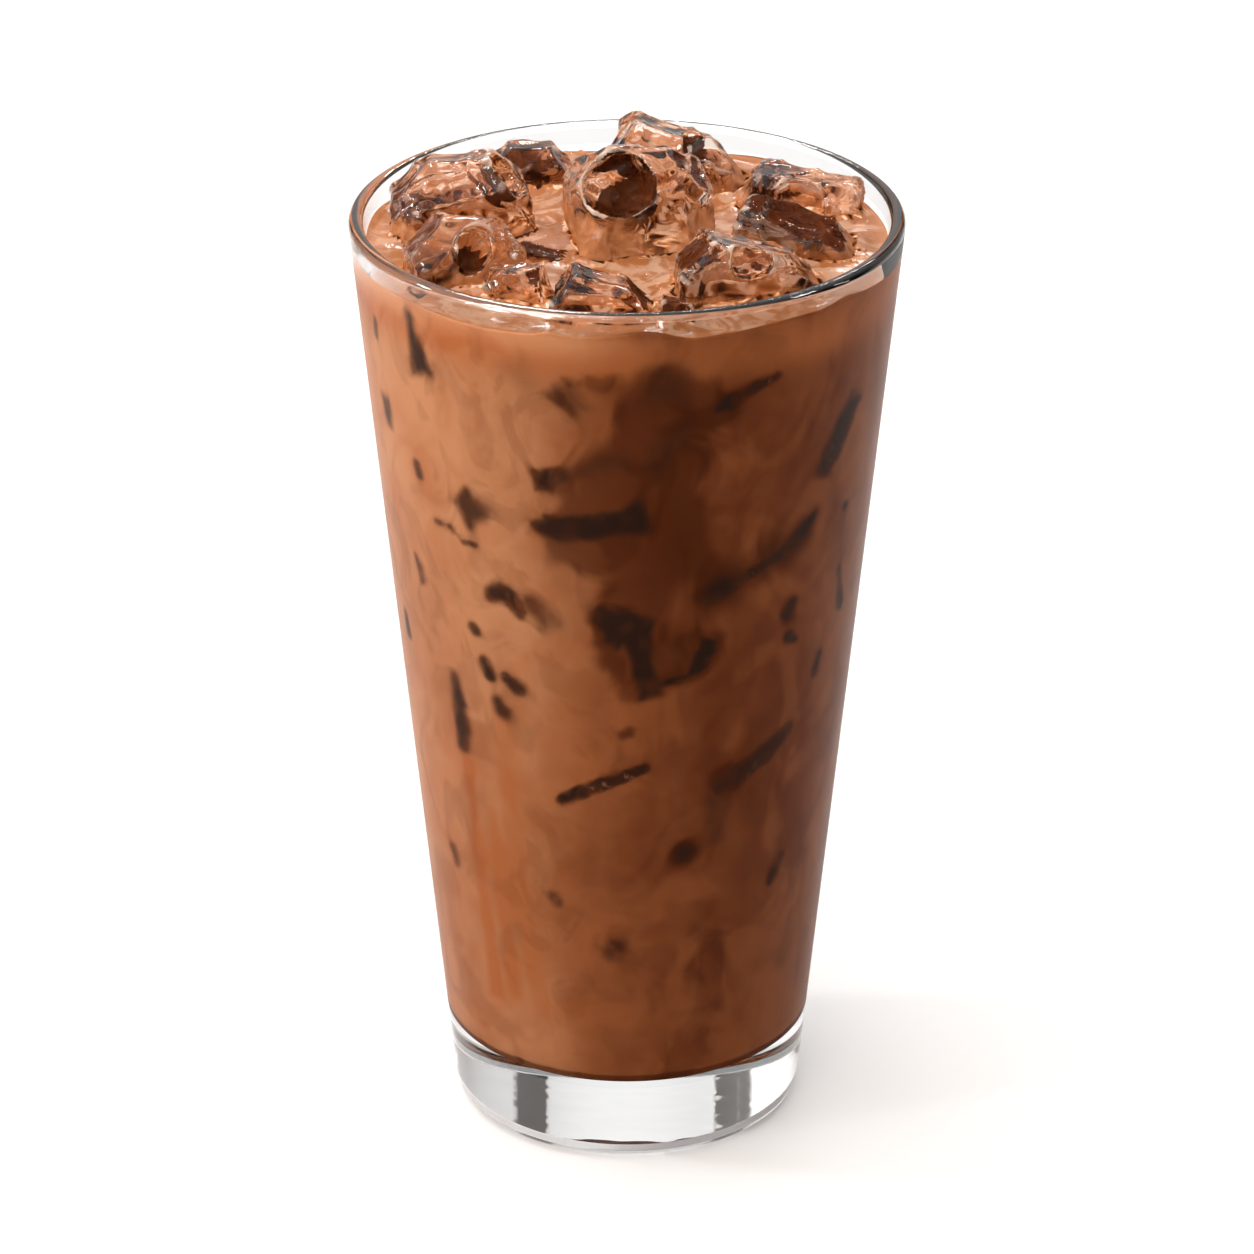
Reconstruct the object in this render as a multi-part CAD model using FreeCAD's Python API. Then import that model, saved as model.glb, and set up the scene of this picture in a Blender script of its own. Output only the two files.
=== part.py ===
"""Iced coffee in a tall tapered glass: the glass, the drink and each ice cube that stands out of it.

Millimetres, +Z up. The origin is the centre of the foot ring, on the surface that the glass stands on.
"""
import FreeCAD, Part

import os
from collections import namedtuple
from math import cos, radians, sin

from FreeCAD import Placement, Rotation, Vector

# The glass
GLASS_HEIGHT = 158.0
RIM_RADIUS = 44.7          # outside, where the straight side would meet the rim plane
FOOT_RADIUS = 29.0         # outside, where the straight side would meet the ground
RIM_WALL = 2.4             # wall at the rim, measured level
FOOT_WALL = 3.0            # wall at the height of the inner floor, measured level
BASE_THICKNESS = 14.0      # ground to inner floor
RIM_ROUND = 1.1
HEEL_ROUND = 3.0
FLOOR_ROUND = 5.0
FOOT_RING_WIDTH = 3.0      # flat ring that the glass rests on
PUNT_DEPTH = 0.6           # rise of the hollow under the base

# The drink
FILL_GAP = 5.2             # rim plane down to the drink
MENISCUS = 0.9             # the drink's climb up the wall, and how far it reaches in

# The ice
HEAP_RADIUS = 41.6         # mouth radius that the places and sizes of the cubes are given for
ICE_CLEARANCE = 0.35       # cube to glass
ICE_ROUND = 3.4            # melted edges
HOLLOW_ROUND = 0.8         # lip of the hollow that freezing leaves in a cube

# A cube: place of its middle, height of its highest point over the drink, breadth, depth and height,
# then its turn about Z, lean about X and roll about Y in degrees. tilt skews opposite faces.
# flats are corners and edges melted flat: (azimuth, elevation, share of the block's reach that is left).
# hollow is the freezing hollow of one face: (azimuth, elevation, width, depth). Both point as in the glass.
Cube = namedtuple("Cube", "name x y top size turn tilt flats hollow")

CUBES = [
    Cube("ice_middle", 1.6, 4.4, 15.6, (22.5, 20.0, 23.0), (18, -12, 4), 5,
         [(180, 46, 0.74), (0, 44, 0.76), (-90, 52, 0.80), (90, 50, 0.80), (-140, 20, 0.88), (-35, 15, 0.84)],
         (-112, 46, 11.5, 5.0)),
    Cube("ice_back_right", 8.2, 28.6, 10.8, (24.0, 14.5, 19.0), (-8, 4, 12), 6,
         [(180, 42, 0.80), (0, 42, 0.72), (-90, 46, 0.82), (30, 20, 0.86), (-40, 25, 0.92)],
         (-20, 46, 7.5, 2.6)),
    Cube("ice_left", -26.6, 8.6, 12.2, (23.0, 18.0, 19.5), (12, 4, -4), 6,
         [(180, 42, 0.70), (0, 42, 0.70), (-90, 46, 0.78), (-150, 10, 0.88), (-30, 20, 0.86), (90, 45, 0.82)],
         (0, 44, 8.0, 2.6)),
    Cube("ice_left_front", -26.2, -14.2, 10.6, (17.6, 12.5, 17.5), (24, -4, 8), 5,
         [(180, 44, 0.72), (-90, 42, 0.84), (5, 44, 0.80)], (-60, 46, 5.5, 2.8)),
    Cube("ice_back_left", -15.4, 28.0, 6.6, (13.4, 11.5, 15.0), (6, 8, -4), 6,
         [(180, 42, 0.80), (0, 42, 0.78), (-90, 44, 0.84)], None),
    Cube("ice_right_back", 28.6, 16.6, 6.6, (19.5, 12.5, 16.0), (-18, 6, 2), 5,
         [(-90, 45, 0.88), (170, 42, 0.84)], (-100, 34, 8.0, 2.4)),
    Cube("ice_right", 27.4, -1.8, 8.2, (22.0, 12.0, 14.5), (-14, 16, 16), 4,
         [(80, 46, 0.84), (-5, 46, 0.80), (-90, 46, 0.90)], None),
    Cube("ice_right_front", 18.6, -19.4, 9.6, (23.5, 15.0, 16.5), (12, 6, 12), 6,
         [(0, 46, 0.76), (-90, 46, 0.84), (-180, 44, 0.82)], (-80, 50, 7.0, 2.4)),
    Cube("ice_front", -3.9, -29.5, 7.0, (15.6, 10.5, 14.0), (-4, 8, 8), 6,
         [(-90, 46, 0.86), (0, 44, 0.78), (180, 44, 0.82)], None),
    Cube("ice_front_left", -16.4, -23.5, 5.6, (9.4, 6.4, 10.0), (-24, 6, -14), 5,
         [(-60, 42, 0.88), (180, 44, 0.82)], None),
    Cube("ice_front_chip", 7.2, -31.9, 3.6, (4.4, 5.0, 8.0), (6, 4, 8), 5, [], None),
    Cube("ice_inner_chip", -14.2, -5.4, 1.8, (7.5, 5.0, 8.0), (-10, 10, 8), 4, [], None),
]


def ring_solid(points):
    """Solid of revolution about Z of the closed outline through (radius, height) points."""
    corners = [Vector(r, 0, z) for r, z in points]
    outline = Part.Wire(Part.makePolygon(corners + corners[:1]))
    return Part.Face(outline).revolve(Vector(), Vector(0, 0, 1), 360)


def circles_at(solid, radius, height):
    """Edges of solid that are circles of that radius at that height."""
    return [e for e in solid.Edges if isinstance(e.Curve, Part.Circle)
            and abs(e.Curve.Radius - radius) < 1e-4 and abs(e.Curve.Center.z - height) < 1e-4]


def outer_radius(z):
    """Outside radius of the straight side at height z."""
    return FOOT_RADIUS + (RIM_RADIUS - FOOT_RADIUS) * z / GLASS_HEIGHT


def inner_radius(z):
    """Inside radius at height z: the wall thins evenly from the inner floor to the rim."""
    share = (z - BASE_THICKNESS) / (GLASS_HEIGHT - BASE_THICKNESS)
    return outer_radius(z) - FOOT_WALL - (RIM_WALL - FOOT_WALL) * share


def bore():
    """The glass's inside, from the rounded floor to the rim plane."""
    floor_radius = inner_radius(BASE_THICKNESS)
    solid = ring_solid([(0, BASE_THICKNESS), (floor_radius, BASE_THICKNESS),
                        (inner_radius(GLASS_HEIGHT), GLASS_HEIGHT), (0, GLASS_HEIGHT)])
    return solid.makeFillet(FLOOR_ROUND, circles_at(solid, floor_radius, BASE_THICKNESS))


def glass(inside):
    """Tumbler with a thick base, a rounded heel and rim, and a shallow punt inside its foot ring."""
    top = GLASS_HEIGHT
    body = ring_solid([(0, 0), (outer_radius(0), 0), (outer_radius(top), top), (0, top)])
    body = body.makeFillet(HEEL_ROUND, circles_at(body, outer_radius(0), 0))
    body = body.cut(inside)
    rim = circles_at(body, outer_radius(top), top) + circles_at(body, inner_radius(top), top)
    body = body.makeFillet(RIM_ROUND, rim)
    return body.cut(punt())


def punt():
    """Ball that hollows the underside, as wide as the foot ring leaves."""
    ring_outer = outer_radius(0) - HEEL_ROUND
    opening = ring_outer - FOOT_RING_WIDTH
    ball = (opening ** 2 + PUNT_DEPTH ** 2) / (2 * PUNT_DEPTH)
    return Part.makeSphere(ball, Vector(0, 0, PUNT_DEPTH - ball))


def cut_by_plane(solid, normal, distance):
    """solid without what lies further than distance from the origin along normal."""
    reach = 2 * solid.BoundBox.DiagonalLength
    slab = Part.makeBox(2 * reach, 2 * reach, reach, Vector(-reach, -reach, 0))
    slab.Placement = Placement(normal * distance, Rotation(Vector(0, 0, 1), normal))
    return solid.cut(slab)


def direction(azimuth, elevation):
    """Unit vector at those angles in degrees, azimuth from +X towards +Y."""
    a, e = radians(azimuth), radians(elevation)
    return Vector(cos(a) * cos(e), sin(a) * cos(e), sin(e))


def cube_rounding(cube, scale):
    """Radius of a cube's melted edges: less on a chip."""
    return min(ICE_ROUND, 0.2 * min(cube.size)) * scale


def melted_block(cube, scale):
    """Block with six uneven faces, corners melted flat and round edges, turned as it lies in the glass."""
    half = [s * scale / 2 for s in cube.size]
    rounding = cube_rounding(cube, scale)
    reach = 2 * max(half)
    block = Part.makeBox(2 * reach, 2 * reach, 2 * reach, Vector(-reach, -reach, -reach))
    yaw, pitch, roll = cube.turn
    turn = Rotation(Vector(0, 0, 1), yaw) * Rotation(Vector(1, 0, 0), pitch) * Rotation(Vector(0, 1, 0), roll)
    axes = [turn.multVec(axis) for axis in (Vector(1, 0, 0), Vector(0, 1, 0), Vector(0, 0, 1))]
    for i, axis in enumerate(axes):
        for j, side in enumerate((1, -1)):
            skew = axes[(i + 1) % 3] * sin(radians(cube.tilt * (1 + j) * 0.8))
            skew += axes[(i + 2) % 3] * sin(radians(cube.tilt * (i - j)))
            block = cut_by_plane(block, (axis * side + skew).normalize(), half[i] - rounding)
    for azimuth, elevation, share in cube.flats:
        n = direction(azimuth, elevation)
        furthest = max(v.Point.dot(n) for v in block.Vertexes) + rounding
        block = cut_by_plane(block, n, furthest * share - rounding)
    return block.Solids[0].makeOffsetShape(rounding, 1e-3, join=0)


def hollowed(block, cube, scale):
    """block with its freezing hollow: a shallow ball with a rounded lip, sunk from the surface that way."""
    azimuth, elevation, width, depth = cube.hollow
    radius = ((width / 2) ** 2 + depth ** 2) / (2 * depth) * scale
    n = direction(azimuth, elevation)
    ray = Part.makeLine(Vector(), n * 100 * scale)
    face = block.common(ray).Length
    centre = n * (face + radius - depth * scale)
    block = block.cut(Part.makeSphere(radius, centre))
    return block.makeFillet(HOLLOW_ROUND * scale, lip_edges(block, radius, centre))


def lip_edges(block, radius, centre):
    """Edges of block that lie on that ball."""
    lip = []
    for edge in block.Edges:
        middle = edge.valueAt((edge.FirstParameter + edge.LastParameter) / 2)
        places = [v.Point for v in edge.Vertexes] + [middle]
        if all(abs((p - centre).Length - radius) < 1e-3 for p in places):
            lip.append(edge)
    return lip


def ice_cube(cube, level, scale, room):
    """One melted cube in place: turned, hollowed, set to its height and kept clear of the glass."""
    block = melted_block(cube, scale)
    if cube.hollow:
        block = hollowed(block, cube, scale)
    lift = level + cube.top * scale - block.optimalBoundingBox(False).ZMax
    block.translate(Vector(cube.x * scale, cube.y * scale, lift))
    return block.common(room)


def drink(inside, level, cubes):
    """The drink: the inside up to the level, climbing a little at the wall, cut round the ice."""
    climb = level + MENISCUS
    over = GLASS_HEIGHT + FILL_GAP
    above = ring_solid([(0, level), (inner_radius(level) - MENISCUS, level),
                        (inner_radius(climb), climb), (RIM_RADIUS, climb), (RIM_RADIUS, over), (0, over)])
    body = inside.cut(above)
    for cube in cubes:
        body = body.cut(cube)
    return body


def heap_room(level):
    """Where ice may be: inside the glass less the clearance, and open above."""
    low, high = BASE_THICKNESS + ICE_CLEARANCE, GLASS_HEIGHT + level
    inset = [inner_radius(z) - ICE_CLEARANCE for z in (low, high)]
    return ring_solid([(0, low), (inset[0], low), (inset[1], high), (0, high)])


def main():
    """Builds every piece and writes one STEP file for each."""
    level = GLASS_HEIGHT - FILL_GAP
    scale = inner_radius(level) / HEAP_RADIUS
    inside = bore()
    room = heap_room(level)
    pieces = {"glass": glass(inside)}
    for cube in CUBES:
        pieces[cube.name] = ice_cube(cube, level, scale, room)
    pieces["coffee"] = drink(inside, level, [pieces[c.name] for c in CUBES])
    os.makedirs("parts", exist_ok=True)
    for name, shape in pieces.items():
        solid = shape.Solids[0] if len(shape.Solids) == 1 else shape
        if not solid.isValid() or len(shape.Solids) != 1:
            raise ValueError(f"{name}: {len(shape.Solids)} solids, valid {solid.isValid()}")
        solid.exportStep(f"parts/{name}.step")
        box = solid.optimalBoundingBox(False)
        print(f"{name:16s} {solid.Volume / 1000:8.2f} cm3  z {box.ZMin:7.2f} to {box.ZMax:7.2f}")


main()
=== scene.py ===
"""Looks of an iced coffee: the tumbler, the drink, the ice that stands out of it and the ice sunk behind the wall.

Metres, +Z up, the origin at the centre of the foot ring. Sizes in the classes are in millimetres where their name
ends in _mm, and every other length is in metres.
"""
import logging
import math
from dataclasses import dataclass
from enum import Enum, IntEnum
from typing import Sequence

import bpy
import numpy as np
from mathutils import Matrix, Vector
from mathutils.bvhtree import BVHTree
from mathutils.kdtree import KDTree


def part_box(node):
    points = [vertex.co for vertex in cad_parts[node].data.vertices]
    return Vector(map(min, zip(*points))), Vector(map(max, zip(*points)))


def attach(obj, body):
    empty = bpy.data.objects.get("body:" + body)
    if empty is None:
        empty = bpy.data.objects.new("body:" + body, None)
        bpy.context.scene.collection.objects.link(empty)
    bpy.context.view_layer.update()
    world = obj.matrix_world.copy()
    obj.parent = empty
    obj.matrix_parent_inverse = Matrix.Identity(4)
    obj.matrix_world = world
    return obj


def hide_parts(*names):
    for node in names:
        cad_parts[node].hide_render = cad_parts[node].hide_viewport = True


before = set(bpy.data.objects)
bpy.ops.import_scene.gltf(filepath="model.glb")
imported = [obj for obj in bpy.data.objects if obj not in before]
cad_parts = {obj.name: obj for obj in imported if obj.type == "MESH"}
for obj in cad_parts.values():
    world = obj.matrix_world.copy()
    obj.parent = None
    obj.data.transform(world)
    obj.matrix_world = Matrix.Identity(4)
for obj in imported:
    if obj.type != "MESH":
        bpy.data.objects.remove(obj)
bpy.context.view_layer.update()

MM = 0.001
LOG = logging.getLogger("iced_coffee")

Colour = tuple[float, float, float]
Outline = list[tuple[float, float]]


# Shader maths


class Sock:
    """One output of a node tree. Arithmetic on it adds Math nodes."""

    def __init__(self, net: "Net", out: bpy.types.NodeSocket) -> None:
        """Wraps the socket out of the tree that net builds."""
        self.net = net
        self.out = out

    def __add__(self, other: "Sock | float") -> "Sock":
        """Sum."""
        return self.net.maths("ADD", self, other)

    def __radd__(self, other: float) -> "Sock":
        """Sum with a number on the left."""
        return self.net.maths("ADD", other, self)

    def __sub__(self, other: "Sock | float") -> "Sock":
        """Difference."""
        return self.net.maths("SUBTRACT", self, other)

    def __rsub__(self, other: float) -> "Sock":
        """Difference from a number."""
        return self.net.maths("SUBTRACT", other, self)

    def __mul__(self, other: "Sock | float") -> "Sock":
        """Product."""
        return self.net.maths("MULTIPLY", self, other)

    def __rmul__(self, other: float) -> "Sock":
        """Product with a number on the left."""
        return self.net.maths("MULTIPLY", other, self)

    def clamp(self) -> "Sock":
        """The value kept between 0 and 1."""
        return Sock(self.net, self.net.node("ShaderNodeClamp", {}, {"Value": self}).outputs[0])


class Net:
    """Builds the nodes of one material or world."""

    def __init__(self, owner: bpy.types.Material | bpy.types.World) -> None:
        """Empties the owner's tree.

        Args:
            owner: the material or world whose nodes are built.
        """
        owner.use_nodes = True
        self.tree = owner.node_tree
        self.tree.nodes.clear()

    def node(self, kind: str, settings: dict[str, object], inputs: dict[str | int, object]) -> bpy.types.Node:
        """Adds one node.

        Args:
            kind: the node's type name.
            settings: attributes set first; "stops" is a ramp's list of (position, colour).
            inputs: values, or Sock links, by socket name or index.

        Returns:
            The new node.
        """
        made = self.tree.nodes.new(kind)
        for key, value in settings.items():
            if key == "stops":
                self._fill_ramp(made, value)
            else:
                setattr(made, key, value)
        for key, value in inputs.items():
            socket = made.inputs[key]
            if isinstance(value, Sock):
                self.tree.links.new(value.out, socket)
            else:
                socket.default_value = value
        return made

    @staticmethod
    def _fill_ramp(made: bpy.types.Node, stops: Sequence[tuple[float, Colour]]) -> None:
        """Sets the colour stops of a ramp node.

        Args:
            made: the ramp node.
            stops: (position, colour) of each stop.
        """
        ramp = made.color_ramp
        while len(ramp.elements) < len(stops):
            ramp.elements.new(0.5)
        for element, (position, colour) in zip(ramp.elements, stops):
            element.position = position
            element.color = (*colour, 1.0)

    def maths(self, operation: str, *values: "Sock | float") -> Sock:
        """Result of a Math node on one to three values."""
        made = self.node("ShaderNodeMath", {"operation": operation}, dict(enumerate(values)))
        return Sock(self, made.outputs[0])

    def mix(self, share: Sock | float, a: Sock | Colour, b: Sock | Colour, how: str = "MIX") -> Sock:
        """Colour a with b laid over it.

        Args:
            share: how much of b, from 0 to 1.
            a: the lower colour.
            b: the upper colour.
            how: the blend type.

        Returns:
            The mixed colour.
        """
        made = self.node("ShaderNodeMix", {"data_type": "RGBA", "blend_type": how}, {0: share})
        for index, value in ((6, a), (7, b)):
            if isinstance(value, Sock):
                self.tree.links.new(value.out, made.inputs[index])
            else:
                made.inputs[index].default_value = (*value, 1.0)
        return Sock(self, made.outputs[2])

    def place(self, stretch: tuple[float, float, float] = (1.0, 1.0, 1.0)) -> Sock:
        """Position on the object in millimetres, stretched along the axes.

        Args:
            stretch: factor along each axis.

        Returns:
            The position.
        """
        spot = Sock(self, self.node("ShaderNodeTexCoord", {}, {}).outputs["Object"])
        scale = tuple(1000.0 * s for s in stretch)
        made = self.node("ShaderNodeVectorMath", {"operation": "MULTIPLY"}, {0: spot, 1: scale})
        return Sock(self, made.outputs[0])

    def clouds(self, place: Sock, size: float, detail: float = 3.0, twist: float = 0.0) -> Sock:
        """Noise from 0 to 1 with lumps about size millimetres across.

        Args:
            place: position in millimetres.
            size: size of the lumps in millimetres.
            detail: levels of finer noise.
            twist: how far the lumps are drawn out into swirls.

        Returns:
            The noise.
        """
        made = self.node("ShaderNodeTexNoise", {}, {"Vector": place, "Scale": 1.0 / size, "Detail": detail,
                                                    "Distortion": twist})
        return Sock(self, made.outputs["Fac"])

    def ramp(self, value: Sock, stops: Sequence[tuple[float, Colour]]) -> Sock:
        """Colour of value along the stops."""
        made = self.node("ShaderNodeValToRGB", {"stops": stops}, {"Fac": value})
        return Sock(self, made.outputs["Color"])

    def step(self, value: Sock, low: float, high: float) -> Sock:
        """Smooth rise from 0 at low to 1 at high.

        Args:
            value: what is measured.
            low: where the result is 0.
            high: where the result is 1, below low for a fall.

        Returns:
            The rise.
        """
        made = self.node("ShaderNodeMapRange", {"interpolation_type": "SMOOTHSTEP"},
                         {"Value": value, "From Min": low, "From Max": high})
        return Sock(self, made.outputs["Result"])

    def spread(self, name: str) -> Sock:
        """Value of a mesh attribute."""
        made = self.node("ShaderNodeAttribute", {"attribute_name": name}, {})
        return Sock(self, made.outputs["Fac"])

    def bump(self, height: Sock, depth_mm: float, strength: float = 1.0) -> Sock:
        """Normal of a surface that rises by depth_mm where height is 1."""
        made = self.node("ShaderNodeBump", {}, {"Height": height, "Distance": depth_mm * MM, "Strength": strength})
        return Sock(self, made.outputs["Normal"])

    def finish(self, shader: bpy.types.Node) -> None:
        """Joins the shader to the output."""
        kind = "ShaderNodeOutputWorld" if shader.bl_idname == "ShaderNodeBackground" else "ShaderNodeOutputMaterial"
        self.tree.links.new(shader.outputs[0], self.node(kind, {}, {}).inputs["Surface"])

    def blend(self, share: Sock | float, a: bpy.types.Node, b: bpy.types.Node) -> bpy.types.Node:
        """Shader a with a share of shader b.

        Args:
            share: how much of b, from 0 to 1.
            a: the first shader.
            b: the second shader.

        Returns:
            The node that mixes them.
        """
        made = self.node("ShaderNodeMixShader", {}, {"Fac": share})
        self.tree.links.new(a.outputs[0], made.inputs[1])
        self.tree.links.new(b.outputs[0], made.inputs[2])
        return made

    def clear_to_light(self, shader: bpy.types.Node, tint: Colour) -> bpy.types.Node:
        """Lets lamps through a clear surface.

        Args:
            shader: the surface as it is seen.
            tint: what is left of the light at each crossing.

        Returns:
            The shader to put on the output.
        """
        shadow = Sock(self, self.node("ShaderNodeLightPath", {}, {}).outputs["Is Shadow Ray"])
        through = self.node("ShaderNodeBsdfTransparent", {}, {"Color": (*tint, 1.0)})
        return self.blend(shadow, shader, through)


# Finishes


@dataclass(frozen=True)
class ClearGlass:
    """Pressed soda glass, very slightly wavy."""

    name: str
    ior: float = 1.5
    tint: Colour = (0.930, 0.935, 0.938)
    mirror: Colour = (1.0, 1.0, 1.0)
    varied: bool = False
    wave_mm: float = 0.02

    def material(self) -> bpy.types.Material:
        """Makes the glass.

        Returns:
            Its material.
        """
        made = bpy.data.materials.new(self.name)
        net = Net(made)
        waves = net.clouds(net.place((1.0, 1.0, 0.45)), 9.0, 1.0)
        shader = net.node("ShaderNodeBsdfPrincipled", {}, {
            "Base Color": (*self.tint, 1.0), "Roughness": 0.0, "IOR": self.ior, "Transmission Weight": 1.0,
            "Specular Tint": (*self.mirror, 1.0), "Normal": net.bump(waves, self.wave_mm)})
        if self.varied:
            plain = net.node("ShaderNodeBsdfRefraction", {}, {
                "Color": (*self.tint, 1.0), "Roughness": 0.0, "IOR": self.ior})
            shader = net.blend(net.spread("gloss"), plain, shader)
        net.finish(net.clear_to_light(shader, (0.86, 0.87, 0.87)))
        return made


class Contact(Enum):
    """What a face of the drink lies against."""

    WALL = "against_glass"
    AIR = "open_surface"
    CUBE = "under_cubes"
    SUNK = "sunk_ice"
    HOLLOW = "painted_shade_in_ice"
    FILM = "on_cubes"


# The contacts of the drink's own body, in the order of its material slots
BODY_CONTACTS = (Contact.WALL, Contact.AIR, Contact.CUBE)


@dataclass(frozen=True)
class MilkyCoffee:
    """Coffee with milk that hasn't fully mixed: tan clouds, thin dark runs and a paler skin on top."""

    deep: Colour = (0.070, 0.013, 0.003)
    dark: Colour = (0.100, 0.022, 0.006)
    low: Colour = (0.185, 0.045, 0.013)
    mid: Colour = (0.325, 0.100, 0.034)
    light: Colour = (0.545, 0.230, 0.102)
    ochre: Colour = (0.400, 0.115, 0.034)
    cream: Colour = (0.600, 0.370, 0.245)
    # Painted shade: the near-black of the clear sunk ice
    black: Colour = (0.030, 0.012, 0.007)

    def body(self, net: Net) -> Sock:
        """Colour of the drink against the glass, from its marbling and the tone attributes, with painted light and
        shade in the tone and halo attributes.

        Args:
            net: the material's nodes.

        Returns:
            The colour.
        """
        slow = net.clouds(net.place((1.0, 1.0, 0.55)), 26.0, 3.0, 0.6)
        fine = net.clouds(net.place((1.0, 1.0, 0.8)), 6.0, 4.0, 0.8)
        grain = net.clouds(net.place(), 0.7, 2.0)
        curls = net.clouds(net.place((1.0, 1.0, 0.75)), 11.0, 5.0, 1.8)
        halo = net.spread("halo")
        mixed = (slow - 0.5) * 0.60 + (fine - 0.5) * 0.30 + (grain - 0.5) * 0.06 + net.spread("tone")
        base = net.ramp(mixed.clamp(), [(0.0, self.dark), (0.22, self.low), (0.52, self.mid), (0.95, self.light)])
        veins = net.clouds(net.place((1.0, 1.0, 0.7)), 15.0, 2.0, 1.4)
        warm = net.step(veins, 0.46, 0.62) * 0.30 + net.spread("warm")
        base = net.mix(warm.clamp(), base, self.ochre)
        shade = net.step(curls, 0.50, 0.60) * 0.16
        # Painted shade: the drink darkened round the sunk ice, in the shade zones and at its very bottom
        pool = net.step(halo + (curls - 0.5) * 0.75 + (fine - 0.5) * 0.3, 0.18, 0.60) * 0.70
        return net.mix((shade + pool).clamp(), base, self.deep)

    def material(self, contact: Contact) -> bpy.types.Material:
        """Makes the drink's finish where it meets a contact.

        Args:
            contact: what the faces lie against.

        Returns:
            Its material.
        """
        made = bpy.data.materials.new("coffee_" + contact.value)
        net = Net(made)
        if contact is Contact.AIR:
            shader = self._skin(net)
        elif contact is Contact.SUNK:
            shader = self._sunk(net)
        elif contact is Contact.CUBE:
            shader = self._bed(net)
        elif contact is Contact.HOLLOW:
            shader = self._painted_ice_shade(net)
        elif contact is Contact.FILM:
            shader = self._film_and_highlights(net)
        else:
            shader = net.node("ShaderNodeBsdfPrincipled", {}, {
                "Base Color": self.body(net), "Roughness": 0.8, "Specular IOR Level": 0.0})
        net.finish(shader)
        return made

    def _skin(self, net: Net) -> bpy.types.Node:
        """Wet top of the drink with paler swirls, and a painted highlight where it climbs the wall and the ice.

        Args:
            net: the material's nodes.

        Returns:
            The shader.
        """
        swirl = net.clouds(net.place((1.0, 1.0, 0.3)), 9.0, 4.0, 2.4)
        fine = net.clouds(net.place(), 2.2, 3.0, 1.2)
        pale = net.step(swirl * 0.8 + fine * 0.2, 0.46, 0.58) * (1 - net.spread("shore"))
        base = net.mix(pale * 0.62, (0.34, 0.115, 0.036), self.cream)
        # Painted highlight: paler along the meniscus at the wall and round the ice
        base = net.mix(net.spread("edge").clamp() * 0.8, base, (0.52, 0.25, 0.11))
        return net.node("ShaderNodeBsdfPrincipled", {}, {
            "Base Color": base, "Roughness": 0.10, "IOR": 1.36,
            "Normal": net.bump(fine, 0.08)})

    def _bed(self, net: Net) -> bpy.types.Node:
        """Milk that lies under and against the cubes, with painted light and shade: paler than the drink for light
        through the ice, near-black patches for shade seen in it.

        Args:
            net: the material's nodes.

        Returns:
            The shader.
        """
        swirl = net.clouds(net.place(), 5.5, 2.0, 1.6)
        # Painted light and shade: pale milk for light through the ice, near-black patches for shade
        base = net.ramp(swirl, [(0.43, (0.040, 0.010, 0.003)), (0.475, (0.25, 0.070, 0.018)),
                                (0.56, (0.54, 0.220, 0.085)), (0.63, (0.88, 0.61, 0.43))])
        return net.node("ShaderNodeBsdfPrincipled", {}, {
            "Base Color": base, "Roughness": 0.8, "Specular IOR Level": 0.0})

    def _painted_ice_shade(self, net: Net) -> bpy.types.Node:
        """Painted shade in the hollows and on the dark facets of the ice: a dark skin seen through the ice.

        Args:
            net: the material's nodes.

        Returns:
            The shader.
        """
        swirl = net.clouds(net.place(), 2.6, 3.0, 1.2)
        # Painted shade: near-black to dark brown
        base = net.ramp(swirl, [(0.35, (0.032, 0.008, 0.003)), (0.60, (0.085, 0.023, 0.008)),
                                (0.80, (0.19, 0.060, 0.020))])
        veil = net.step(net.spread("veil") + (swirl - 0.5) * 0.12, 0.12, 0.50) * 0.94
        return net.node("ShaderNodeBsdfPrincipled", {}, {
            "Base Color": base, "Roughness": 0.5, "Specular IOR Level": 0.0, "Alpha": veil})

    def _film_and_highlights(self, net: Net) -> bpy.types.Node:
        """Milk that clings to the cubes and thins out as it climbs, and painted highlights in pale cream on their
        ridges.

        Args:
            net: the material's nodes.

        Returns:
            The shader.
        """
        swirl = net.clouds(net.place(), 3.0, 4.0, 1.0)
        base = net.ramp(swirl, [(0.35, (0.34, 0.100, 0.026)), (0.65, (0.54, 0.22, 0.085))])
        spread = net.spread("veil")  # less than 0 on the ridges with painted highlights, by how much of them shows
        veil = net.step(spread + (swirl - 0.5) * 0.7, 0.10, 1.15) * 0.85
        painted_highlight = (spread * -1.0).clamp()
        # Painted highlight: pale cream along the sharpest ridges of the cubes
        base = net.mix(net.step(painted_highlight, 0.0, 0.10), base, (0.82, 0.62, 0.49))
        veil = veil * net.step(spread, -0.02, 0.02) + painted_highlight
        return net.node("ShaderNodeBsdfPrincipled", {}, {
            "Base Color": base, "Roughness": 0.35, "IOR": 1.33, "Alpha": veil})

    def _sunk(self, net: Net) -> bpy.types.Node:
        """Sunk ice painted near-black as shade, with painted glints, behind a skin of milk that thickens towards its
        edge.

        Args:
            net: the material's nodes.

        Returns:
            The shader.
        """
        # Painted highlight: light brown glints along the inside of some sunk pieces
        streak = net.clouds(net.place(), 1.6, 3.0, 1.0)
        glint = net.step(streak, 0.58, 0.72) * net.spread("glint")
        lighter = net.step(net.clouds(net.place(), 2.8, 3.0), 0.48, 0.72) * 0.6
        # Painted shade: the sunk ice painted near-black, a little lighter in patches
        core = net.mix(lighter, self.black, (0.070, 0.020, 0.008))
        core = net.mix(glint.clamp(), core, (0.24, 0.10, 0.055))
        base = net.mix(net.spread("core").clamp(), self.body(net), core)
        return net.node("ShaderNodeBsdfPrincipled", {}, {
            "Base Color": base, "Roughness": 0.6, "Specular IOR Level": 0.0})


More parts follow.
